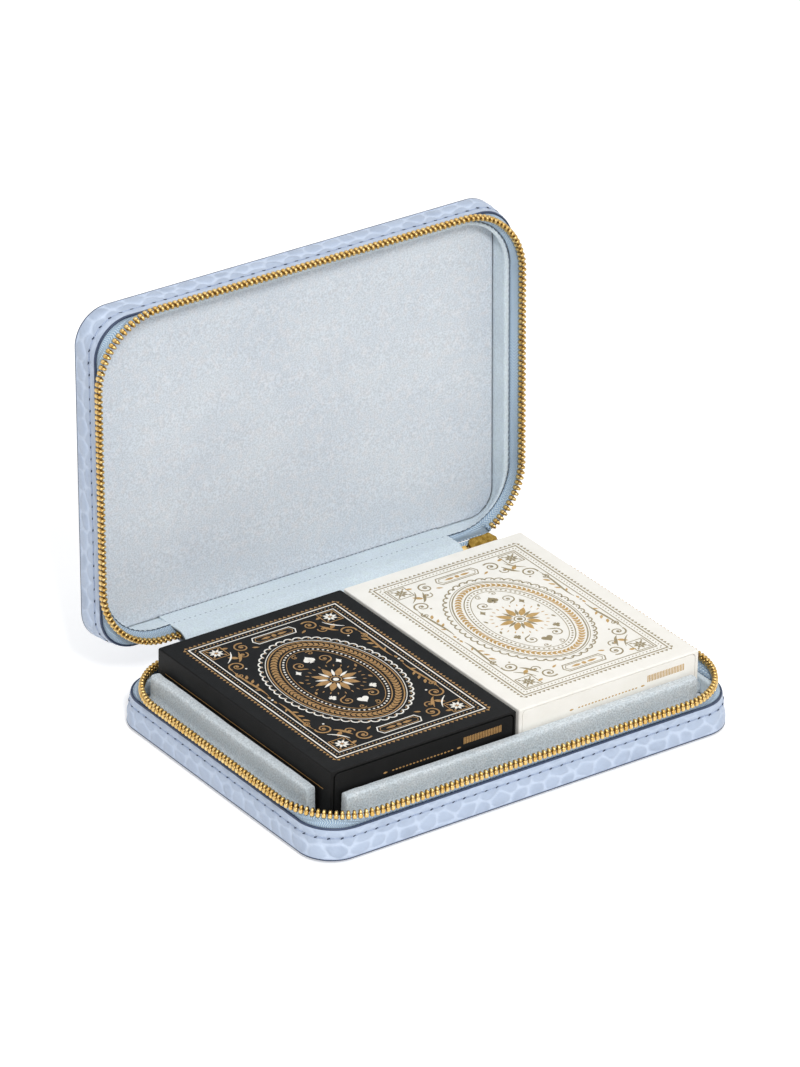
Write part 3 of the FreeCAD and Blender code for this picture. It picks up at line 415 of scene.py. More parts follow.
def scales(u, v, pattern, stretch=1.0):
    """At each point: how far it is from a crease between two scales, and its scale's tone."""
    centres, tones, around = pattern
    gaps, shades = [], []
    for start in range(0, len(u), 4000):
        du = np.abs(u[start:start + 4000, None] - centres[:, 0])
        if around:
            du = np.minimum(du, around - du)
        far = np.hypot(du, (v[start:start + 4000, None] - centres[:, 1]) * stretch)
        first, second, third = np.partition(far, (0, 1, 2), axis=1)[:, :3].T
        # creases spread where three scales meet, so that each scale is rounded
        gaps.append(np.maximum(second - first - 0.8 * np.exp(-((third - first) / 1.5) ** 2), 0))
        shades.append(tones[far.argmin(axis=1)])
    return np.concatenate(gaps), np.concatenate(shades)


def emboss(gap):
    """Depth share at a gap between two scales: 1 in the crease, 0 on the scale."""
    return np.exp(-(gap / CREASE_WIDTH) ** 2)


def embossed(x, v, pattern, stretch, share):
    """Crease and tone over a grid, and both as marks for the two sides of a slab."""
    gap, tone = scales(x.ravel(), v.ravel(), pattern, stretch)
    crease = emboss(gap.reshape(x.shape)) * share
    flat = np.zeros(x.size)
    return crease, {"crease": np.concatenate([crease.ravel(), flat]),
                    "tone": np.concatenate([tone, flat + 0.5])}


EMBOSS_DEPTH, CREASE_WIDTH = 0.24, 0.75
WALL_SECTION = (
    # outward of the wall's face, level, share of the embossing, 1 where the edge is painted
    # dark, which is edge paint widened into painted shade of the gaps at the mouth and the foot
    (-1.10, 0.95, 0, 0), (-0.60, 0.92, 0, 1), (-0.22, 0.92, 0, 1), (-0.07, 0.96, 0, 1),
    (0.00, 1.06, 0, 1), (0.02, 1.25, 0, 1), (0.00, 1.44, 0, 1), (-0.02, 1.52, 0.2, 0),
    (0.02, 1.70, 0.5, 0), (0.04, 2.00, 0.9, 0),
    (0.06, 2.45, 1, 0), (0.08, 2.90, 1, 0),
    (0.09, 3.35, 1, 0), (0.10, 3.80, 1, 0), (0.09, 4.25, 1, 0), (0.07, 4.70, 1, 0),
    (0.03, 5.15, 1, 0), (-0.03, 5.55, 1, 0), (-0.14, 5.90, 0.9, 0), (-0.26, 6.20, 0.8, 0),
    (-0.31, 6.60, 0.7, 0), (-0.30, 7.00, 0.6, 0), (-0.30, 7.40, 0.5, 0),
    (-0.36, 7.75, 0.4, 0), (-0.42, 8.00, 0.3, 0), (-0.36, 8.25, 0.4, 0),
    (-0.28, 8.60, 0.5, 0), (-0.29, 9.05, 0.6, 0), (-0.33, 9.50, 0.6, 0),
    (-0.38, 9.95, 0.5, 0), (-0.43, 10.30, 0.3, 0), (-0.46, 10.48, 0.1, 1),
    (-0.50, 10.82, 0, 1), (-0.56, 11.00, 0, 1), (-0.68, 11.10, 0, 1), (-0.88, 11.10, 0, 1),
    (-1.05, 11.00, 0, 1), (-1.10, 10.70, 0, 1), (-1.10, 6.00, 0, 0),
)


def corner_at(level):
    """The corners are drawn in by the zip at the mouth and are tighter at the panel."""
    return CORNER - 1.0 + 2.0 * level / WALL_TOP


def wall_skin(half):
    """The leather strip round a half: board ridge, stitched band, dark painted edges that are
    edge paint and painted shade of the gaps at the mouth and the foot.
    """
    along, total = run_length(plan(SIDE, END, END, CORNER)[0])
    pattern = scale_centres(0, total, (-0.6, 3.4, 7.4, 11.4), 6.3, 0.6,
                            11 if half == "base" else 23, True)
    rings, creases, tones, edge_shades = [], [], [], []
    for out, level, share, edge_shade in WALL_SECTION:
        points, normals = plan(SIDE, END, END, corner_at(level))
        gap, tone = scales(along, np.full(len(along), level), pattern, 1.35)
        crease = emboss(gap) * share
        # a scale's field is a little domed between its creases
        lift = 0.14 * (1 - np.exp(-(gap / 2.6) ** 2)) * share
        ring = points + normals * (out - EMBOSS_DEPTH * crease + lift - 0.05 * share)[:, None]
        rings.append(at_level(ring, level))
        creases.append(crease)
        tones.append(0.5 + (tone - 0.5) * share)
        edge_shades.append(edge_shade)
    count = len(along)
    faces = grid(len(rings), count, True, True)
    # faces between two painted rings take the dark finish: edge paint and painted shade
    picks = np.repeat([a and b for a, b in zip(edge_shades, edge_shades[1:] + edge_shades[:1])], count)
    add_piece(f"{half}_wall_skin", half, "croc_leather", np.concatenate(rings), faces,
              [LEATHER, EDGE_PAINT_AND_SHADE], f"{half}_wall_leather", picks=picks,
              marks={"crease": np.concatenate(creases), "tone": np.concatenate(tones)})


def spaced(half, step, fine=(0.0, 0.12, 0.3, 0.55, 0.85, 1.2)):
    """Places from -half to half: close together at both ends, even between."""
    inner = half - fine[-1]
    count = max(2, round(2 * inner / step))
    middle = np.linspace(-inner, inner, count + 1)
    ends = half - np.array(fine[:-1])
    return np.concatenate([-ends, middle, ends[::-1]])


def rounded_field(side, end, corner, step):
    """A grid over a rectangle with round corners: x, y and the distance to its edge."""
    across = spaced(side, step) / side
    along = spaced(end, step)
    reach = np.abs(along) - (end - corner)
    inset = np.where(reach > 0, corner - np.sqrt(np.maximum(corner ** 2 - reach ** 2, 0)), 0)
    y, share = np.meshgrid(along, across, indexing="ij")
    x = share * (side - inset)[:, None]
    dx = np.maximum(np.abs(x) - (side - corner), 0)
    dy = np.maximum(np.abs(y) - (end - corner), 0)
    edge = np.where((dx > 0) & (dy > 0), corner - np.hypot(dx, dy),
                    np.minimum(side - np.abs(x), end - np.abs(y)))
    return x, y, np.maximum(edge, 0)


def rounded_off(edge, radius=0.9):
    """How far a face falls away near its edge, as a quarter circle."""
    near = radius - np.minimum(edge, radius)
    return radius - np.sqrt(np.maximum(radius ** 2 - near ** 2, 0))


def slab(x, y, top, bottom):
    """Closed shell over a grid: its top, its bottom, and the wall between."""
    rows, columns = x.shape
    count = rows * columns
    points = np.concatenate([np.column_stack([x.ravel(), y.ravel(), top.ravel()]),
                             np.column_stack([x.ravel(), y.ravel(), bottom.ravel()])])
    upper = grid(rows, columns)
    lower = grid(rows, columns, start=count)[:, ::-1]
    border = np.concatenate([
        np.arange(columns), np.arange(1, rows) * columns + columns - 1,
        (rows - 1) * columns + np.arange(columns - 2, -1, -1),
        np.arange(rows - 2, 0, -1) * columns])
    after = np.roll(border, -1)
    walls = np.stack([border, border + count, after + count, after], axis=1)
    return points, np.concatenate([upper, lower, walls])


# each half's outer panel: how far it is set in, its thickness, its pattern's seed, its node
PANELS = {"base": (1.3, 1.0, 37, "base_underside_leather"),
          "lid": (0.8, 1.2, 5, "lid_top_leather")}
MIDDLE, MIDDLE_RATE = 16.0, 1.25   # half width of the close scales, and how close they are


def panel_skin(half):
    """The flat leather on a half's outer face, embossed with scales, its edge turned down."""
    inset, thick, seed, node = PANELS[half]
    x, y, edge = rounded_field(SIDE - inset, END - inset, CORNER - inset, 0.7)
    # scales are small along the middle and broaden towards both sides
    across = MIDDLE * np.arcsinh(x / MIDDLE) * MIDDLE_RATE
    pattern = scale_centres(-50, 50, np.arange(-56.0, 57.0, 7.6), 8.6, 0.42, seed)
    crease, marks = embossed(across, y, pattern, 1.0, np.clip(edge / 1.5, 0, 1))
    top = rounded_off(edge) * 0.9 + EMBOSS_DEPTH * crease + 0.02
    points, faces = slab(x, y, top, np.full(x.shape, thick))
    add_piece(f"{half}_panel_skin", half, "croc_leather", points, faces, [LEATHER], node,
              marks=marks)


def across_hinge(points):
    """Closed-case points of a strip over the hinge, bent as it lies with the lid open."""
    return opened(points, np.clip((points[:, 2] - BEND[0]) / (BEND[1] - BEND[0]), 0, 1))


def hinge_levels(low, high, step):
    """Levels along a strip: even on its two flats, close together where it bends."""
    return np.concatenate([np.arange(low, BEND[0], step), np.linspace(*BEND, 24),
                           np.arange(BEND[1] + step, high, step), [high]])


def spine_skin():
    """The leather strip outside the hinge, bending with the lid."""
    low, high = 2.4, CLOSED - 2.4
    z, x = np.meshgrid(hinge_levels(low, high, 0.6), spaced(SPINE_HALF, 0.7), indexing="ij")
    edge = np.minimum(SPINE_HALF - np.abs(x), np.minimum(z - low, high - z))
    pattern = scale_centres(-54, 54, (-1.0, 4.6, 10.2, 15.8, 21.4, 27.0, 32.6), 7.8, 0.5, 71)
    crease, marks = embossed(x, z, pattern, 1.3, np.clip(edge / 1.2, 0, 1))
    fall = 0.5 * (1 - np.clip(edge / 0.8, 0, 1)) ** 2
    face = END + 1.0 - fall - 0.2 * crease
    # its ends are skived thinner, with room for the tongue of the zip's tail
    skive, skive_from, skive_over = 0.4, 43.5, 1.5
    back = END + 0.02 + skive * np.clip((np.abs(x) - skive_from) / skive_over, 0, 1)
    points, faces = slab(x, z, face, np.minimum(back, face - 0.15))
    add_piece("spine_skin", ((0, 0.0555, 0.0150), (0, 0.0568, 0.0163)), "croc_leather",
              across_hinge(points[:, [0, 2, 1]]), faces, [LEATHER],
              "base_spine_leaf", "lid_spine_leaf", marks=marks)


# ---- repeats along a path

def spots_of(mesh):
    """A mesh's points as an array."""
    found = np.zeros(len(mesh.vertices) * 3)
    mesh.vertices.foreach_get("co", found)
    return found.reshape(-1, 3)


def repeat_tree():
    """Geometry Nodes: one piece set at even steps along a path, turned to follow it."""
    tree = bpy.data.node_groups.new("repeat_along_path", "GeometryNodeTree")
    for label, kind, side in (("Path", "Geometry", "INPUT"), ("Count", "Int", "INPUT"),
                              ("Piece", "Object", "INPUT"), ("Slant", "Float", "INPUT"),
                              ("Stray", "Float", "INPUT"), ("Seed", "Int", "INPUT"),
                              ("Finish", "Material", "INPUT"), ("Row", "Geometry", "OUTPUT")):
        tree.interface.new_socket(label, in_out=side, socket_type=f"NodeSocket{kind}")
    given = add(tree, "NodeGroupInput").outputs
    evened = add(tree, "GeometryNodeResampleCurve", {"mode": "COUNT"}, {
        "Curve": given["Path"], "Count": given["Count"]})
    facing = add(tree, "FunctionNodeAxesToRotation",
                 {"primary_axis": "X", "secondary_axis": "Z"}, {
                     "Primary Axis": add(tree, "GeometryNodeInputTangent"),
                     "Secondary Axis": (0, 0, 1)})
    stray = add(tree, "FunctionNodeRandomValue", {"data_type": "FLOAT"}, {
        2: -1.0, 3: 1.0, "Seed": given["Seed"]})
    amount = maths(tree, "MULTIPLY_ADD", stray.outputs[1], given["Stray"], given["Slant"])
    lean = add(tree, "ShaderNodeCombineXYZ", {}, {"Z": amount})
    lean = add(tree, "FunctionNodeEulerToRotation", {}, {"Euler": lean})
    turned = add(tree, "FunctionNodeRotateRotation", {"rotation_space": "LOCAL"}, {
        "Rotation": facing, "Rotate By": lean})
    piece = add(tree, "GeometryNodeObjectInfo", {"transform_space": "ORIGINAL"}, {
        "Object": given["Piece"]})
    row = add(tree, "GeometryNodeInstanceOnPoints", {}, {
        "Points": evened, "Instance": piece.outputs["Geometry"], "Rotation": turned})
    real = add(tree, "GeometryNodeRealizeInstances", {}, {"Geometry": row})
    dressed = add(tree, "GeometryNodeSetMaterial", {}, {
        "Geometry": real, "Material": given["Finish"]})
    add(tree, "NodeGroupOutput", inputs={"Row": dressed})
    return tree


REPEAT = repeat_tree()


def row_of(shape, path, count, finish, closed=False, slant=0.0, stray=0.0, seed=1):
    """Points and faces of a shape repeated along a path; shape is points and faces in mm."""
    one = linked("one", plain_mesh("one", *shape))
    curve = bpy.data.curves.new("path", "CURVE")
    curve.dimensions = "3D"
    line = curve.splines.new("POLY")
    line.points.add(len(path) - 1)
    path = np.asarray(path, float)
    if path.shape[1] == 2:
        path = at_level(path, 0)
    line.points.foreach_set("co", np.column_stack([path, np.ones(len(path))]).ravel())
    line.use_cyclic_u = closed
    holder = linked("row", curve)
    modifier = holder.modifiers.new("repeat", "NODES")
    modifier.node_group = REPEAT
    values = {"Count": count, "Piece": one, "Slant": slant, "Stray": stray, "Seed": seed,
              "Finish": finish}
    for socket in REPEAT.interface.items_tree:
        if socket.item_type == "SOCKET" and socket.name in values:
            modifier[socket.identifier] = values[socket.name]
    graph = bpy.context.evaluated_depsgraph_get()
    made = bpy.data.meshes.new_from_object(holder.evaluated_get(graph))
    result = spots_of(made), [tuple(p.vertices) for p in made.polygons]
    for item in (one, holder):
        bpy.data.objects.remove(item)
    bpy.data.meshes.remove(made)
    return result


def join(parts):
    """Several point and face lists as one."""
    points, faces, start = [], [], 0
    for some, quads in parts:
        points.append(np.asarray(some, float))
        faces.extend(tuple(int(i) + start for i in face) for face in quads)
        start += len(some)
    return np.concatenate(points), faces


def lathe_rings(rings, sides):
    """A closed shape through rings of points round the z axis, with its ends filled."""
    points = np.concatenate(rings)
    faces = [tuple(f) for f in grid(len(rings), sides, False, True)]
    faces.append(tuple(range(sides))[::-1])
    faces.append(tuple(range((len(rings) - 1) * sides, len(rings) * sides)))
    return points, faces


def ring(half_x, half_y, z, square=0.62):
    """Eight points of a rounded rectangle round the z axis."""
    angle = 2 * math.pi * (np.arange(8) + 0.5) / 8
    outline = [half * np.copysign(np.abs(turn) ** square, turn)
               for half, turn in ((half_x, np.cos(angle)), (half_y, np.sin(angle)))]
    return at_level(np.stack(outline, axis=1), z)


def add_row(name, body, slot, shape, path, count, finish, *nodes, marks=None, **given):
    """A row of one shape as a piece of its own."""
    add_piece(name, body, slot, *row_of(shape, path, count, finish, **given), [finish],
              *nodes, marks=marks)


# ---- the zip

TOOTH_SECTIONS = (
    # half along the row, half across it, height above the feet, how much brown painted shade
    # and patina it holds
    (0.56, 0.84, 0.0, 0.6), (0.71, 0.98, 0.12, 0.15), (0.74, 1.00, 0.50, 0.0),
    (0.73, 0.98, 1.00, 0.0), (0.62, 0.84, 1.28, 0.25), (0.47, 0.68, 1.46, 0.7),
    (0.52, 0.76, 1.66, 0.3), (0.52, 0.80, 1.90, 0.05), (0.40, 0.66, 2.20, 0.0),
    (0.20, 0.42, 2.43, 0.2))


def zip_row(half):
    """One row of stamped teeth: broad legs clamped on the tape, a nipped waist, a domed head.

    The lid's teeth stand half a pitch along, so that the rows mesh."""
    points, _ = plan(ROW_SIDE, ROW_BACK, ROW_FRONT, ROW_CORNER, 0.25)
    along, total = run_length(points)
    first = row_distance(FIRST_TOOTH_X) + (0 if half == "base" else PITCH / 2)
    stops = first + np.arange(0, (TEETH - 1) * PITCH + 0.001, PITCH / 7)
    path = point_at(points, along, total, stops)
    shape = lathe_rings([ring(a, b, TOOTH_FOOT + z) for a, b, z, _ in TOOTH_SECTIONS], 8)
    # flanks that face the next tooth are browned at least half way: painted shade between the
    # teeth
    shaded_flanks = np.abs(np.cos(2 * math.pi * (np.arange(8) + 0.5) / 8)) > 0.5
    shade_and_patina = np.concatenate([np.where(shaded_flanks, max(p, 0.5), p)
                             for _, _, _, p in TOOTH_SECTIONS])
    add_row(f"{half}_teeth", half, "brass_teeth", shape, path, TEETH, TEETH_BRASS,
            f"{half}_zip_teeth", marks={"shade_and_patina": np.tile(shade_and_patina, TEETH)})


def mouth(inset, step):
    """The edge of the lid's suede in plan: it follows the zip round the corners."""
    return plan(SIDE - inset, max(MOUTH_BACK - inset, MOUTH_BACK_LEAST), END - inset,
                MOUTH_CORNER - 1.5 * (inset - LINING_EDGE), step)[0]


TAPE_RUNGS = (
    # share of the way from the leather's edge to the teeth, level
    (0.0, 9.0), (0.0, 10.6), (0.0, 11.0), (0.12, 11.35), (0.3, 11.66), (0.5, 11.95),
    (0.7, 12.25), (0.87, 12.6), (0.97, 12.95), (1.0, 13.3), (1.0, 13.8), (1.0, 14.3))
TUCKED, LINED = 12.2, 10.9    # the tape's level below the slider; the suede's edge lies on
                              # the tape above this level


def tape_band(half):
    """The woven tape: out of the leather's edge, over in a soft roll, up into the teeth."""
    step = 0.5
    wall, wall_out = plan(SIDE, END, END, corner_at(WALL_TOP), step)
    row, row_out = plan(ROW_SIDE, ROW_BACK, ROW_FRONT, ROW_CORNER, step)
    along, _ = run_length(row)
    start = row_distance(TAPE_START_X)
    stop = start + (TEETH - 1) * PITCH + 3.2     # a little beyond the last tooth
    # right of the hinge it goes on below the slider and the tail, lower and further back
    keep = np.where(((wall[:, 0] >= SPINE_HALF + 0.5) | (wall[:, 1] < END - 1)
                     | (wall[:, 0] < 0)) & (along <= stop))[0]
    wall, wall_out, row, row_out = (a[keep] for a in (wall, wall_out, row, row_out))
    along = along[keep]
    tuck = np.clip((start - along) / 3.0, 0, 1)
    inner = wall - wall_out * 1.35
    lined = inner if half == "base" else mouth(1.40, step)[keep]
    row = row + (inner - row) * tuck[:, None]
    outer, under, across = [], [], []
    travel, before = np.zeros(len(along)), None
    for share, level in TAPE_RUNGS:
        # the tape bellies out a little between the leather and the teeth
        height = level + 0.35 * math.sin(math.pi * share)
        height = height + tuck * (min(height, TUCKED + 0.04 * (height - TUCKED)) - height)
        place = inner + (row - inner) * share
        here = at_level(place, height)
        if before is not None:
            travel = travel + np.linalg.norm(here - before, axis=1)
        before = here
        across.append(travel)
        outer.append(at_level(place + row_out * TAPE_THICK, height))
        # inside it starts from the edge of the suede
        if height.min() > LINED:
            place = place + (lined - inner) * (1 - share)
        under.append(at_level(place - row_out * TAPE_THICK, height))
    rings = outer + under[::-1]
    count = len(along)
    faces = [tuple(f) for f in grid(len(rings), count, True, False)]
    faces += [tuple(range(0, len(rings) * count, count)),
              tuple(range(count - 1, len(rings) * count, count))[::-1]]
    add_piece(f"{half}_tape", half, "zip_tape", np.concatenate(rings), faces, [TAPE],
              f"{half}_zip_tape", marks={
                  "along": np.tile(along, len(rings)),
                  "across": np.concatenate(across + across[::-1])})


def tail_tape():
    """The joined ends of both tapes right of the hinge, and the tongue that is sewn in."""
    start, cross, end = 51.2, 51.7, 57.0     # along the hinge: where they join, their ends
    outer, inner = 3.2, 1.75                 # across it, on both sides of the parting
    tongue, deep = 46.0, 54.6                # how far the tongue reaches along and back
    parts = []
    for x0, x1, low, high in ((start, end, -outer, -inner), (start, end, inner, outer),
                              (start, cross, -inner - 0.02, inner + 0.02)):
        z, x = np.meshgrid(np.linspace(low, high, 9), np.linspace(x0, x1, 25), indexing="ij")
        edge = np.minimum(np.minimum(z - low, high - z), np.minimum(x - x0, x1 - x))
        thick = TAPE_THICK - 0.07 * np.clip(1 - edge / 0.2, 0, 1) ** 2
        limp = 0.05 * np.sin(1.1 * (x - start)) * np.sign(low + high)
        points, faces = slab(x, z + PARTING, ROW_BACK + limp + thick, ROW_BACK + limp - thick)
        parts.append((points[:, [0, 2, 1]], faces))
    y, x = np.meshgrid(np.linspace(ROW_BACK - 0.1, deep, 9), np.linspace(tongue, cross, 25),
                       indexing="ij")
    parts.append(slab(x, y, np.full(x.shape, PARTING + 0.28), np.full(x.shape, PARTING - 0.28)))
    points, faces = join(parts)
    add_piece("tail_tape", "zip_tail", "zip_tape", points, faces, [TAPE], "zip_tail_tape",
              marks={"along": points[:, 0], "across": points[:, 1] + points[:, 2]})


def stitch_shape(length=2.9, thick=0.17):
    """A stitch lying along x: a thread that rises from one hole and sinks in the next."""
    angle = np.arange(6) * math.pi / 3
    rings = []
    for share in np.linspace(-1, 1, 7):
        rise = 0.20 * (1 - share ** 4) - 0.16
        girth = thick * (0.75 + 0.25 * (1 - share ** 2))
        rings.append(np.column_stack([np.full(6, share * length / 2),
                                      -rise + girth * np.cos(angle), girth * np.sin(angle)]))
    return lathe_rings(rings, 6)


def hole_shape():
    """The needle hole between two stitches: a flat dark slit, cut a little aslant, that paints
    the shade inside the hole.
    """
    angle = np.arange(8) * math.pi / 4
    x, z = 0.5 * np.cos(angle), 0.22 * np.sin(angle)
    return lathe_rings([
        np.column_stack([1.85 + r * x, np.full(8, y), r * (z - 0.3 * x)])
        for r, y in ((0.4, 0.12), (1.0, 0.05), (1.0, -0.12), (0.4, -0.2))], 8)


def wall_stitches(half):
    """Lockstitch round the wall, 3.1 mm below the leather's edge."""
    level, out, pitch = 8.0, -0.34, 3.9
    points, normals = plan(SIDE, END, END, corner_at(level), 0.5)
    path = points + normals * out
    count = round(run_length(path)[1] / pitch)
    # the holes are flat dark slits: painted shade
    for name, shape, finish in (("stitches", stitch_shape(), THREAD),
                                ("needle_holes", hole_shape(), NEEDLE_HOLE_SHADE)):
        add_row(f"{half}_{name}", half, "croc_leather", shape, at_level(path, level), count,
                finish, closed=True)


# ---- suede

CLOTH_SIZE, CLOTH_FRAMES, CLOTH_PRESSURE = 10, 20, 4.0


def swell(piece, held, cap):
    """Lets a soft piece fill out as cloth under pressure, its held points staying put.

    cap is the most that a point may move, in millimetres.  The cloth is worked ten times
    life size, where its defaults behave, and put back."""
    mesh = piece.data
    before = spots_of(mesh)
    work = linked("cloth", mesh.copy())
    work.data.vertices.foreach_set("co", (before * CLOTH_SIZE).ravel())
    work.vertex_groups.new(name="held").add(
        [int(i) for i in np.flatnonzero(held)], 1.0, "REPLACE")
    cloth = work.modifiers.new("cloth", "CLOTH")
    cloth.settings.use_pressure = True
    cloth.settings.uniform_pressure_force = CLOTH_PRESSURE
    cloth.settings.effector_weights.gravity = 0.0
    cloth.settings.vertex_group_mass = "held"
    scene = bpy.context.scene
    for number in range(CLOTH_FRAMES):
        scene.frame_set(number + 1)
    graph = bpy.context.evaluated_depsgraph_get()
    move = spots_of(work.evaluated_get(graph).to_mesh()) / CLOTH_SIZE - before
    # the farthest points are held back, so that 99 in 100 set the scale
    far = np.linalg.norm(move, axis=1)
    most = np.percentile(far, 99) or 1.0
    move *= (cap * MM / most) * np.minimum(1, most / np.maximum(far, 1e-9))[:, None]
    mesh.vertices.foreach_set("co", (before + move).ravel())
    mesh.update()
    scene.frame_set(1)
    spare = work.data
    bpy.data.objects.remove(work)
    bpy.data.meshes.remove(spare)


def wall_suede(half):
    """The suede strip inside a half's walls, turned over the board's edge to the tape."""
    floor = 5.2 if half == "base" else 4.0
    section = [(2.7, floor), (3.4, floor), (3.4, floor + 1.2)]
    section += [(3.4, level) for level in np.linspace(floor + 2.0, 10.3, 6)]
    section += [(3.36, 10.55), (3.22, 10.78), (3.0, 10.93), (2.7, 11.0), (2.35, 11.0),
                (2.05, 10.95), (1.82, 10.85), (LINING_EDGE, 10.65), (LINING_EDGE, 10.4),
                (2.7, 10.35)]
    rings = []
    for inset, level in section:
        points, normals = plan(SIDE, END, END, corner_at(level), 1.0)
        points = points - normals * inset
        if half == "lid" and (inset, level) != section[-1]:
            points += (mouth(inset, 1.0) - points) * min(max((level - 6.0) / 4.0, 0), 1)
        rings.append(at_level(points, level))
    add_piece(f"{half}_wall_suede", half, "suede_lining", np.concatenate(rings),
              grid(len(rings), len(points), True, True), [SMOOTH_SUEDE],
              f"{half}_wall_lining")
    # the seam that holds suede and tape together shows as short dark stitches
    points, normals = plan(SIDE, END, END, corner_at(WALL_TOP), 0.5)
    inset, level, pitch = 1.95, 11.08, 1.9
    path = points - normals * inset if half == "base" else mouth(inset, 0.5)
    add_row(f"{half}_lining_seam", half, "suede_lining", stitch_shape(1.3, 0.12),
            at_level(path, level), round(run_length(path)[1] / pitch), SEAM_THREAD_AND_SHADOW,
            closed=True, slant=0.25)


def floor_suede(half):
    """The suede pad in a half: foam behind it gives a soft crown, its edge rolls down."""
    bottom, top = (3.0, FLOOR - 0.3) if half == "base" else (2.7, LID_FLOOR)
    inset, glued_edge = 3.45, 1.2
    x, y, edge = rounded_field(SIDE - inset, END - inset, CORNER - inset, 2.0)
    points, faces = slab(x, y, top - 0.8 * rounded_off(edge), np.full(x.shape, bottom))
    node = "base_floor" if half == "base" else "lid_top"
    # its glued back and its edge are held
    held = np.concatenate([edge.ravel() < glued_edge, np.full(x.size, True)])
    piece = add_piece(f"{half}_floor_suede", half, "suede_lining", points, faces, [SUEDE],
                      f"{node}_lining", f"{node}_pad", held=held, cap=0.3)


def hinge_suede():
    """The suede over the hinge inside: from the base's floor up and over to the lid's."""
    z, x = np.meshgrid(hinge_levels(FLOOR, CLOSED - LID_FLOOR, 0.8),
                       spaced(HINGE_SUEDE_HALF, 1.0, (0.0, 0.1, 0.3)), indexing="ij")
    points, faces = slab(x, z, np.full(x.shape, CAVITY_Y - 0.6),
                         np.full(x.shape, CAVITY_Y - 0.02))
    add_piece("hinge_suede", ((0, 0.05065, 0.0150), (0, 0.05704, 0.02118)), "suede_lining",
              across_hinge(points[:, [0, 2, 1]]), faces, [SMOOTH_SUEDE],
              "base_hinge_lining_leaf", "lid_hinge_lining_leaf")
    # dark stitches where the hinge suede meets the lid's lining paint the thin shadow under the
    # lining's edge, drawn as a seam
    ends = [(side * HINGE_SUEDE_HALF, CAVITY_Y - 0.66, LID_FLOOR + 0.14)
            for side in (-1, 1)]
    stitches = 66
    add_row("hinge_seam", "lid", "suede_lining", stitch_shape(1.1, 0.09), ends, stitches,
            SEAM_THREAD_AND_SHADOW, slant=0.1, stray=0.2, seed=4)


BARS = {"left": (-72.7, -39.25, -67.3, 42.15, 1), "right": (67.3, -39.25, 72.7, 42.15, -1),
        "front": (-63.6, -51.25, 63.6, -45.85, -1), "back": (-49.0, 44.95, 49.0, 50.35, 1)}
BAR_HEIGHT = 12.3
SLIM, SLIM_FROM, SLIM_OVER = 0.95, 9.0, 2.6    # how the foot narrows: by, from a level, over


def bar(name, x0, y0, x1, y1, outer):
    """A retaining bar: suede wrapped over a firm core, with a wider foot on its wall side.

    outer is +1 or -1: the wall's side along the bar's own cross axis."""
    low, high = FLOOR, FLOOR + BAR_HEIGHT
    long_x = x1 - x0 > y1 - y0
    thick, half = sorted(((x1 - x0) / 2, (y1 - y0) / 2))
    centre = np.array(((x0 + x1) / 2, (y0 + y1) / 2, 0))
    soft = 1.2
    side = [(1.0, z) for z in np.linspace(low, high - soft, 9)]
    arc = [(1 - soft * (1 - math.cos(a)) / thick, high - soft + soft * math.sin(a))
           for a in np.radians(np.linspace(15, 90, 6))]
    profile = [(-t, z) for t, z in side + arc] + [(0, high + 0.05)] + (side + arc)[::-1]
    points = []
    for s in spaced(half, 1.5, (0.0, 0.05, 0.15, 0.25, 0.35, 0.45, 0.6, 1.2)):
        edge = half - abs(s)
        # the wrapped end is squared off, with a crease where the suede is folded over
        pinch = 0.3 * max(0, 1 - edge / 0.25) ** 2 + 0.14 * math.exp(-((edge - 0.4) / 0.1) ** 2)
        for t, z in profile:
            step = min(1, max(0, (z - SLIM_FROM) / SLIM_OVER))
            slim = SLIM * step * step * (3 - 2 * step)
            across = t * (thick - slim - pinch) - outer * slim
            up = z - pinch * (z - low) / (high - low)
            points.append((s, across, up) if long_x else (-across, s, up))
    count = len(profile)
    rings = np.split(np.array(points) + centre, len(points) // count)
    points, faces = lathe_rings(rings, count)
    piece = add_piece(f"{name}_bar", "base", "suede_lining", points, faces, [BAR_SUEDE],
                      f"{name}_bar_cover", f"{name}_bar_core",
                      held=points[:, 2] < low + 1, cap=0.35)


# ---- card boxes

def rectangle(x0, z0, x1, z1, corner):
    """A rectangle with round corners, the same number of points whatever its size."""
    quarters = ((x1 - corner, z1 - corner, 0), (x0 + corner, z1 - corner, 90),
                (x0 + corner, z0 + corner, 180), (x1 - corner, z0 + corner, 270))
    return np.array([(x + corner * math.cos(angle), z + corner * math.sin(angle))
                     for x, z, start in quarters
                     for angle in np.radians(start + np.linspace(0, 90, 5))])


def loft(rings):
    """A closed shape through outlines in x and z, each at its own y, with its ends filled."""
    return lathe_rings([at_level(line, y)[:, [0, 2, 1]] for line, y in rings],
                       len(rings[0][0]))


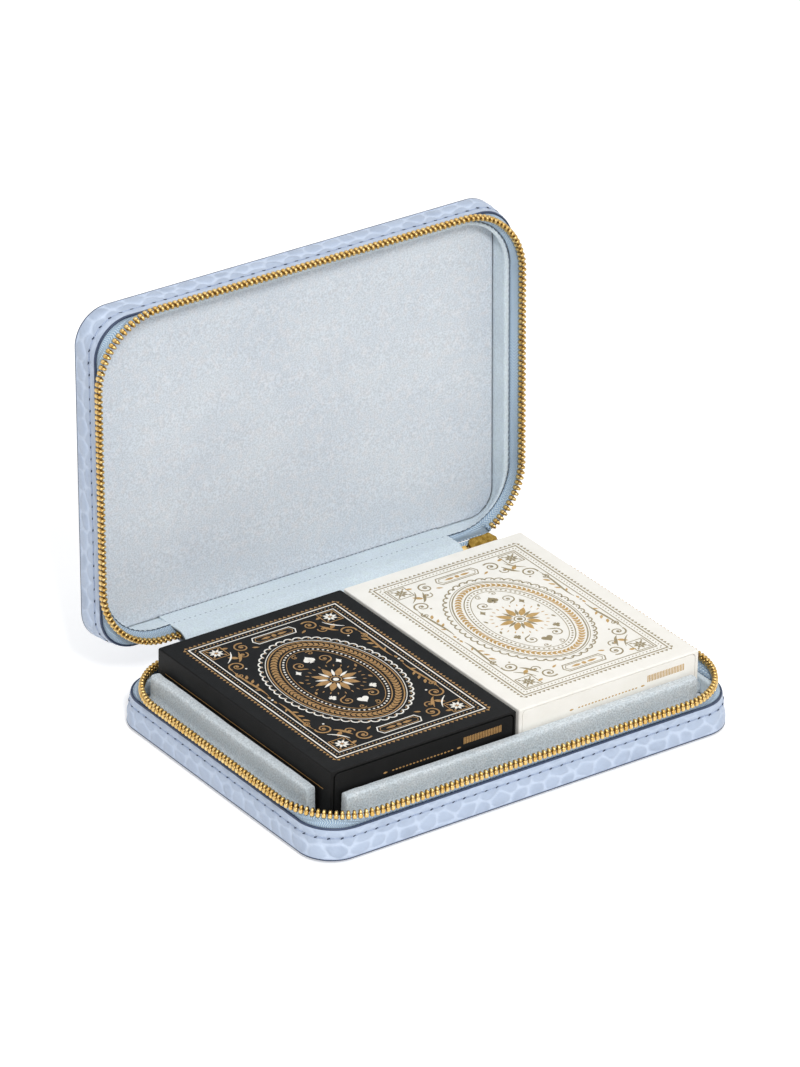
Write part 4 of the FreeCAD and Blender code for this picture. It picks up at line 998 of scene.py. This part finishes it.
def card_box(name, finish, slot, gap):
    """A tuck box: folded sleeve, glued end panel in front, tuck flap behind.

    The end panel's cut edges lie in the sleeve with a hair's breadth round them."""
    left, front, low = DECK_LEFT[name], DECK_FRONT, FLOOR
    right, back, top = left + DECK_W, front + DECK_L, low + DECK_H
    fold, lip = 0.4, 0.6     # the folded edge round the end panel, and the tuck flap's depth

    def outline(inset, corner):
        return rectangle(left + inset, low + inset, right - inset, top - inset, corner)

    def panel(grow):
        return rectangle(left + 1.3 - grow, low + 1.2 - grow, right - 1.3 + grow,
                         top - 0.85 + grow, 1.3 + grow)

    flap = back - lip
    shapes = {
        "sleeve": loft([(panel(gap), front + 1.1), (panel(gap), front + 0.04),
                        (outline(fold, 0.05), front), (outline(fold * 0.3, 0.2), front + 0.12),
                        (outline(0, 0.4), front + fold), (outline(0, 0.4), flap - 0.05),
                        (outline(0.12, 0.3), flap)]),
        "end_panel": loft([(panel(0), front + 1.3), (panel(0), front + 0.06),
                           (panel(-0.06), front)]),
        "tuck_flap": loft([(outline(0.3, 0.3), flap - 0.3), (outline(0.06, 0.4), flap + 0.12),
                           (outline(0.06, 0.4), back - 0.4),
                           (outline(0.18, 0.5), back - 0.12), (outline(0.45, 0.6), back)]),
    }
    for role, (points, faces) in shapes.items():
        add_piece(f"{name}_{role}", f"{name}_deck", slot, points, faces, [finish],
                  f"{name}_deck_{role}", smooth=False)


# ---- printed ornament

def ribbon(path, width, closed=False):
    """A printed line along a path; its width may change along it."""
    path = np.asarray(path, float)
    steps = np.roll(path, -1, axis=0) - path
    if not closed:
        steps[-1] = steps[-2]
    steps /= np.linalg.norm(steps, axis=1)[:, None]
    ahead = np.stack([-steps[:, 1], steps[:, 0]], axis=1)
    behind = np.roll(ahead, 1, axis=0)
    if not closed:
        behind[0] = ahead[0]
    reach = (ahead + behind) / np.maximum(1 + (ahead * behind).sum(axis=1), 0.5)[:, None]
    reach *= (np.broadcast_to(width, len(path)) / 2)[:, None]
    count = len(path)
    points = np.concatenate([at_level(line, level) for line, level in (
        (path + reach, INK_FOOT), (path + reach, INK_TOP), (path - reach, INK_TOP),
        (path - reach, INK_FOOT))])
    faces = [tuple(f) for f in grid(4, count, True, closed)]
    if not closed:
        faces += [(0, count, 2 * count, 3 * count),
                  (4 * count - 1, 3 * count - 1, 2 * count - 1, count - 1)]
    return points, faces


def blot(outline):
    """A printed patch."""
    return lathe_rings([at_level(outline, INK_FOOT), at_level(outline, INK_TOP)],
                       len(outline))


def oval(wide, tall=None, count=72):
    angle = np.arange(count) * 2 * math.pi / count
    return np.stack([wide * np.cos(angle), (tall or wide) * np.sin(angle)], axis=1)


def dot(wide, count=8, tall=None):
    return blot(oval(wide, tall, count))


def leaf(length, wide, *place):
    """A pointed leaf that grows along x; place is where its foot lies, and its turn."""
    share = np.linspace(0, 1, 7)
    side = wide / 2 * np.sin(math.pi * share ** 0.8)
    shape = blot(np.concatenate([np.stack([share * length, -side], axis=1),
                                 np.stack([share * length, side], axis=1)[-2:0:-1]]))
    return moved(shape, *place)


def moved(shape, x=0.0, y=0.0, turn=0.0, flip=(1, 1)):
    """A printed shape turned, shifted, then mirrored."""
    points = np.array(shape[0], float)
    c, s = math.cos(turn), math.sin(turn)
    u = points[:, 0] * c - points[:, 1] * s + x
    v = points[:, 0] * s + points[:, 1] * c + y
    points[:, 0], points[:, 1] = u * flip[0], v * flip[1]
    return points, shape[1]


def four(*shapes):
    """Shapes in each of the four quarters of a face."""
    return [moved(shape, flip=flip) for shape in shapes
            for flip in ((1, 1), (-1, 1), (1, -1), (-1, -1))]


def rosette(count, inner, outer, wide, turn=0.0):
    """Petals round a centre."""
    petal = leaf(outer - inner, wide, inner)
    return join([moved(petal, turn=turn + 2 * math.pi * i / count) for i in range(count)])


def scroll(x, y, start, size, turns, width=0.42):
    """A spiral from its rim in to a bead at its eye; turns below 0 wind clockwise."""
    share = np.linspace(0, 1, 30)
    angle = start + 2 * math.pi * turns * share
    radius = size * (1 - 0.84 * share)
    path = np.stack([x + radius * np.cos(angle), y + radius * np.sin(angle)], axis=1)
    return join([ribbon(path, width * (1 - 0.5 * share)),
                 moved(dot(0.2 * size, 10), x, y)])


def sweep(first, second, third, fourth, width):
    """A stroke along a Bezier curve, thin at both ends."""
    t = np.linspace(0, 1, 18)[:, None]
    path = sum(k * np.array(p, float) for k, p in zip(
        ((1 - t) ** 3, 3 * (1 - t) ** 2 * t, 3 * (1 - t) * t ** 2, t ** 3),
        (first, second, third, fourth)))
    return ribbon(path, 0.12 + width * np.sin(math.pi * t[:, 0]))


def box_corners(half_x, half_y):
    return np.array([(half_x, -half_y), (half_x, half_y), (-half_x, half_y),
                     (-half_x, -half_y)])


def frame_rows(half_x, half_y, shape, pitch):
    """A shape repeated along each side of a rectangle; its -y points outwards."""
    corners = box_corners(half_x, half_y)
    rows = []
    for a, b in zip(corners, np.roll(corners, -1, axis=0)):
        long = np.linalg.norm(b - a)
        count = round(long / pitch)
        ease = (b - a) / count / 2
        rows.append(row_of(shape, [a + ease, b - ease], count, GOLD_INK))
    return rows


def suits(size):
    """Heart, spade, diamond and club, each about twice the size across."""
    t = np.arange(28) * 2 * math.pi / 28
    heart = size / 16 * np.stack([16 * np.sin(t) ** 3, 13 * np.cos(t) - 5 * np.cos(2 * t)
                                  - 2 * np.cos(3 * t) - np.cos(4 * t)], axis=1)
    stem = blot(size * np.array([(-0.45, -1.05), (0.45, -1.05), (0.1, -0.6), (0.08, 0),
                                 (-0.08, 0), (-0.1, -0.6)]))
    diamond = size * np.array([(0.85, 0), (0.35, 0.45), (0, 1.15), (-0.35, 0.45), (-0.85, 0),
                               (-0.35, -0.45), (0, -1.15), (0.35, -0.45)])
    disc = dot(0.47 * size, 16)
    return (blot(heart), join([blot(heart * (1, -1)), stem]), blot(diamond),
            join([moved(disc, 0, 0.5 * size), moved(disc, -0.5 * size, -0.25 * size),
                  moved(disc, 0.5 * size, -0.25 * size), stem]))


def box_line(half_x, half_y, width):
    return ribbon(box_corners(half_x, half_y), width, True)


def oval_row(wide, tall, shape, pitch, slant=0.0):
    path = oval(wide, tall, 240)
    return row_of(shape, path, round(run_length(path)[1] / pitch), GOLD_INK, True, slant)


def oval_lines(wide, tall, *lines):
    """Ovals drawn at distances inside one oval, each with its line's width."""
    return [ribbon(oval(wide - inset, tall - inset), width, True) for inset, width in lines]


# Ornament of one quarter of a box's top, from the middle of the face
SCROLLS_INSIDE = ((4.4, 12.4, -1.2, 2.2, 1.3), (2.6, 17.4, 2.4, 1.2, -1.1, 0.3))
SCROLLS_OUTSIDE = (
    (19.9, 22.3, -0.4, 2.7, 1.5, 0.55), (12.2, 31.4, 2.2, 2.6, -1.5, 0.55),
    (14.4, 27.3, 2.6, 1.7, 1.2, 0.4), (22.2, 17.4, 1.6, 1.4, -1.2, 0.4))
SWEEPS_OUTSIDE = (
    ((22.5, 21.0), (23.4, 14.0), (21.4, 8.0), (22.2, 2.6), 0.6),
    ((17.9, 24.3), (16.2, 25.4), (15.6, 27.2), (14.6, 29.6), 0.8))
LEAVES_OUTSIDE = (
    # length, width, place of its foot, turn
    (3.4, 1.4, 16.6, 26.3, 0.7), (2.7, 1.1, 16.4, 26.4, 2.4), (2.5, 1.0, 22.0, 14.4, 2.2),
    (2.3, 0.9, 21.9, 11.6, 2.3), (2.1, 0.8, 22.0, 9.0, 2.4), (1.9, 0.7, 22.1, 6.6, 0.8),
    (2.3, 1.0, 15.9, 33.2, 0.3), (2.2, 0.8, 9.6, 29.6, 3.6))


def top_ornament():
    """Ornament for a box's top: line work, light accents and fills, each a list of shapes.

    A saw-edged frame, flowers in its corners, and a leafy oval with a star and four suits."""
    wide, tall = DECK_W / 2, DECK_L / 2
    saw = blot([(-0.72, 0.1), (0, -0.8), (0.72, 0.1)])
    lines = (frame_rows(wide - 5.6, tall - 5.6, saw, 1.6)
             + frame_rows(wide - 7.75, tall - 7.75, dot(0.24), 1.3))
    accents = [box_line(wide - 6.6, tall - 6.6, 0.45), box_line(wide - 8.9, tall - 8.9, 0.34)]
    x, y = wide - 12.5, tall - 12.5
    lines += four(moved(box_line(2.9, 2.9, 0.3), x, y), moved(dot(0.5, 10), x, y),
                  *[leaf(1.1, 0.6, x + 2.3 * i, y + 2.3 * j, math.atan2(-j, -i))
                    for i in (1, -1) for j in (1, -1)])
    accents += four(moved(rosette(8, 0.5, 2.3, 0.85), x, y))

    # the oval: scalloped edge, wreath, beads
    a, b = 18.6, 26.8
    t = np.linspace(math.pi, 2 * math.pi, 9)
    scallop = ribbon(np.stack([1.42 * np.cos(t), 1.3 * np.sin(t)], axis=1), 0.45)
    accents += [oval_row(a, b, scallop, 2.9), *oval_lines(a, b, (0.75, 0.22))]
    lines += [oval_row(a + 0.45, b + 0.45, dot(0.34, 8, 0.24), 2.9),
              *oval_lines(a, b, (1.5, 0.42), (5.2, 0.34), (7.2, 0.22))]
    fills = [oval_row(a - 3.35, b - 3.35, leaf(2.1, 0.9, -0.3), 1.6, slant)
             for slant in (0.62, -0.62)]
    accents += [oval_row(a - 6.2, b - 6.2, dot(0.36), 1.5)]

    # inside it: a star of leaves, four suits, scrolls above and below
    fills += [rosette(8, 2.1, 7.4, 2.1), rosette(24, 7.9, 9.2, 0.4)]
    lines += [ribbon(oval(1.7, count=24), 0.34, True)]
    accents += [rosette(8, 2.2, 6.2, 0.95, math.pi / 8), dot(0.9, 12)]
    heart, spade = suits(1.9)[:2]
    diamond, club = suits(1.25)[2:]
    accents += [moved(spade, 0, 14.2), moved(heart, 0, -14.2)]
    accents += four(moved(diamond, 7.2, 8.9))[:2] + four(moved(club, 7.2, 8.9))[2:]
    lines += four(*[scroll(*s) for s in SCROLLS_INSIDE],
                  sweep((3.2, 9.4), (4.2, 10.6), (6.0, 10.0), (6.4, 11.9), 0.4),
                  leaf(1.8, 0.8, 9.4, 3.0, 1.2))

    # corners between the oval and the frame
    lines += four(*[scroll(*s) for s in SCROLLS_OUTSIDE], *[sweep(*s) for s in SWEEPS_OUTSIDE])
    fills += four(*[leaf(*s) for s in LEAVES_OUTSIDE])
    accents += four(sweep((21.0, 25.6), (18.9, 27.0), (17.5, 28.7), (16.6, 31.0), 0.4),
                    moved(dot(0.42), 22.7), moved(dot(0.36), 18.4, 19.9))
    fills += four(leaf(1.7, 0.8, 22.7, 0.8, math.pi / 2))

    # cartouches above and below the oval
    plate = np.array([(7.6, 0), (6.6, 2.0), (-6.6, 2.0), (-7.6, 0), (-6.6, -2.0), (6.6, -2.0)])
    for y in (32.2, -32.2):
        accents += [moved(ribbon(plate, 0.34, True), 0, y)]
        lines += [moved(ribbon(plate * (0.88, 0.68), 0.22, True), 0, y)]
        fills += [moved(dot(0.75, 12), 0, y), leaf(3.4, 1.1, 1.2, y),
                  leaf(3.4, 1.1, -1.2, y, math.pi)]
    return lines, accents, fills


def end_ornament():
    """A fluted band and a dotted rule along the foot of a box's front end."""
    flutes = row_of(blot(np.array([(-0.17, -1.1), (0.17, -1.1), (0.17, 1.1), (-0.17, 1.1)])),
                    [(14.2, 3.7), (27.4, 3.7)], 24, GOLD_INK)
    dashes = row_of(leaf(0.9, 0.5), [(-11.5, 1.9), (9.5, 1.9)], 18, GOLD_INK)
    return [flutes, dashes, leaf(1.6, 0.6, -14.6, 1.9), leaf(1.6, 0.6, 11.6, 1.9)]


def printed(name, role, finish, slot, shapes, face):
    """Puts printed shapes on a box's top, front end or left side."""
    left = DECK_LEFT[name]
    middle_x, middle_y = left + DECK_W / 2, DECK_FRONT + DECK_L / 2
    # later shapes lie a hair higher, so that no two share a plane
    points, faces = join([
        (np.array(spots) + (np.array(spots)[:, 2:] > 0) * (0, 0, 0.0002 * order), quads)
        for order, (spots, quads) in enumerate(shapes)])
    u, v, w = points.T
    place = {"top": (middle_x + u, middle_y + v, FLOOR + DECK_H + w),
             "end": (middle_x + u, DECK_FRONT - w, PRINT_LEVEL + v),
             "side": (left - w, middle_y + u, PRINT_LEVEL + v)}[face]
    add_piece(f"{name}_{role}", f"{name}_deck", slot, np.column_stack(place), faces, [finish],
              smooth=False)


def print_boxes():
    lines, accents, fills = top_ornament()
    for name, slot, line, accent, fill in (
            ("black", "black_tuck_board", GOLD_INK, WHITE_INK, GOLD_INK),
            ("white", "ivory_tuck_board", OLIVE_INK, OLIVE_INK, PALE_GOLD_INK)):
        rule = [ribbon([(-41, 0.7), (41, 0.7)], 0.22)]
        for role, ink, shapes, face in (
                ("top_lines", line, lines, "top"), ("top_accents", accent, accents, "top"),
                ("top_fills", fill, fills, "top"), ("end_print", fill, end_ornament(), "end"),
                ("side_print", fill, rule, "side")):
            printed(name, role, ink, slot, shapes, face)


# ---- CAD pieces that stay

def dress_nodes():
    """Materials for the CAD pieces, by the first of these words found in each name."""
    finishes = (("board_tray", GREYBOARD), ("stop", TEETH_BRASS), ("slider", SLIDER_BRASS),
                ("pull", SLIDER_BRASS), ("cards", CARD_STOCK), ("core", FOAM), ("pad", FOAM),
                ("leather", LEATHER), ("lining", SUEDE), ("spine", LEATHER), ("tape", TAPE),
                ("teeth", TEETH_BRASS), ("cover", BAR_SUEDE), ("black_deck", BLACK_CARD),
                ("white_deck", IVORY_CARD))
    for name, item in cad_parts.items():
        finish = next(f for key, f in finishes if key in name)
        item.data.materials.clear()
        item.data.materials.append(finish)


dress_nodes()
for half in ("base", "lid"):
    for make in (wall_skin, panel_skin, zip_row, tape_band, wall_stitches, wall_suede,
                 floor_suede):
        make(half)
spine_skin()
hinge_suede()
tail_tape()
for name, place in BARS.items():
    bar(name, *place)
card_box("black", BLACK_CARD, "black_tuck_board", 0.48)
card_box("white", IVORY_CARD, "ivory_tuck_board", 0.16)
print_boxes()


# ---- stage, light and camera

def by_ray(tree, output, unseen, seen):
    """Ends a tree in one shader for the rays that look at it, and another for its light."""
    ray = add(tree, "ShaderNodeLightPath").outputs
    looks = maths(tree, "MAXIMUM", ray["Is Camera Ray"], ray["Is Glossy Ray"])
    looks = maths(tree, "MAXIMUM", looks, ray["Is Transmission Ray"])
    mix = add(tree, "ShaderNodeMixShader", inputs={0: looks, 1: unseen, 2: seen})
    add(tree, output, inputs={"Surface": mix})


def pale_floor():
    """A pale, even floor that keeps a soft shadow."""
    material = bpy.data.materials.new("pale_floor")
    tree = empty_tree(material)
    diffuse = add(tree, "ShaderNodeBsdfDiffuse", inputs={"Color": "#F4F4F4"})
    glow = add(tree, "ShaderNodeEmission", inputs={"Color": "#FFFFFF", "Strength": 0.42})
    lift = add(tree, "ShaderNodeAddShader", inputs={0: diffuse, 1: glow})
    by_ray(tree, "ShaderNodeOutputMaterial", diffuse, lift)
    mesh = plain_mesh("floor", [(-6, -6, 0), (6, -6, 0), (6, 6, 0), (-6, 6, 0)],
                      [(0, 1, 2, 3)])
    mesh.materials.append(material)
    floor = linked("floor", mesh)
    floor.location.z = -0.0002


def lamp(name, size, energy, place, aim):
    """A soft square lamp that points at a place."""
    light = bpy.data.lights.new(name, "AREA")
    light.shape = "SQUARE"
    light.size = size
    light.energy = energy
    item = linked(name, light)
    item.location = place
    item.rotation_euler = (Vector(aim) - Vector(place)).to_track_quat("-Z", "Y").to_euler()


def studio():
    """Plain soft light: a pale world, a broad panel overhead, a key in front, a low fill."""
    world = bpy.data.worlds.new("world")
    bpy.context.scene.world = world
    tree = empty_tree(world)
    ambient, backdrop = (
        add(tree, "ShaderNodeBackground", inputs={"Color": "#FFFFFF", "Strength": strength})
        for strength in (0.455, 1.0))
    by_ray(tree, "ShaderNodeOutputWorld", ambient, backdrop)
    lamp("overhead", 1.0, 3.9, (-0.1, 0.05, 1.3), (0, 0.02, 0.03))
    lamp("key", 0.25, 13.2, (-0.53, -1.05, 1.10), (0, 0, 0.04))
    lamp("fill", 0.9, 2.0, (1.0, -0.8, 0.55), (0, 0.0, 0.03))


def camera():
    """The camera: from the left front, looking down on the open case."""
    yaw, pitch, roll = 0.6256319, -0.4880653, 0.0190734
    place = (-1.15611, -1.58514, 1.10516)
    focal, tall, sensor = 7549.80, 1067, 36.0      # pixels, pixels, millimetres
    ahead = Vector((math.sin(yaw) * math.cos(pitch), math.cos(yaw) * math.cos(pitch),
                    math.sin(pitch)))
    level = Vector((math.cos(yaw), -math.sin(yaw), 0))
    upright = level.cross(ahead)
    right = level * math.cos(roll) + upright * math.sin(roll)
    up = upright * math.cos(roll) - level * math.sin(roll)
    lens = bpy.data.cameras.new("camera")
    lens.sensor_width = sensor
    lens.lens = focal / tall * sensor
    lens.clip_start, lens.clip_end = 0.05, 20.0
    item = linked("camera", lens)
    item.matrix_world = Matrix([*zip(right, up, -ahead, place), (0, 0, 0, 1)])
    bpy.context.scene.camera = item


pale_floor()
studio()
camera()
bpy.context.scene.view_settings.view_transform = "Standard"
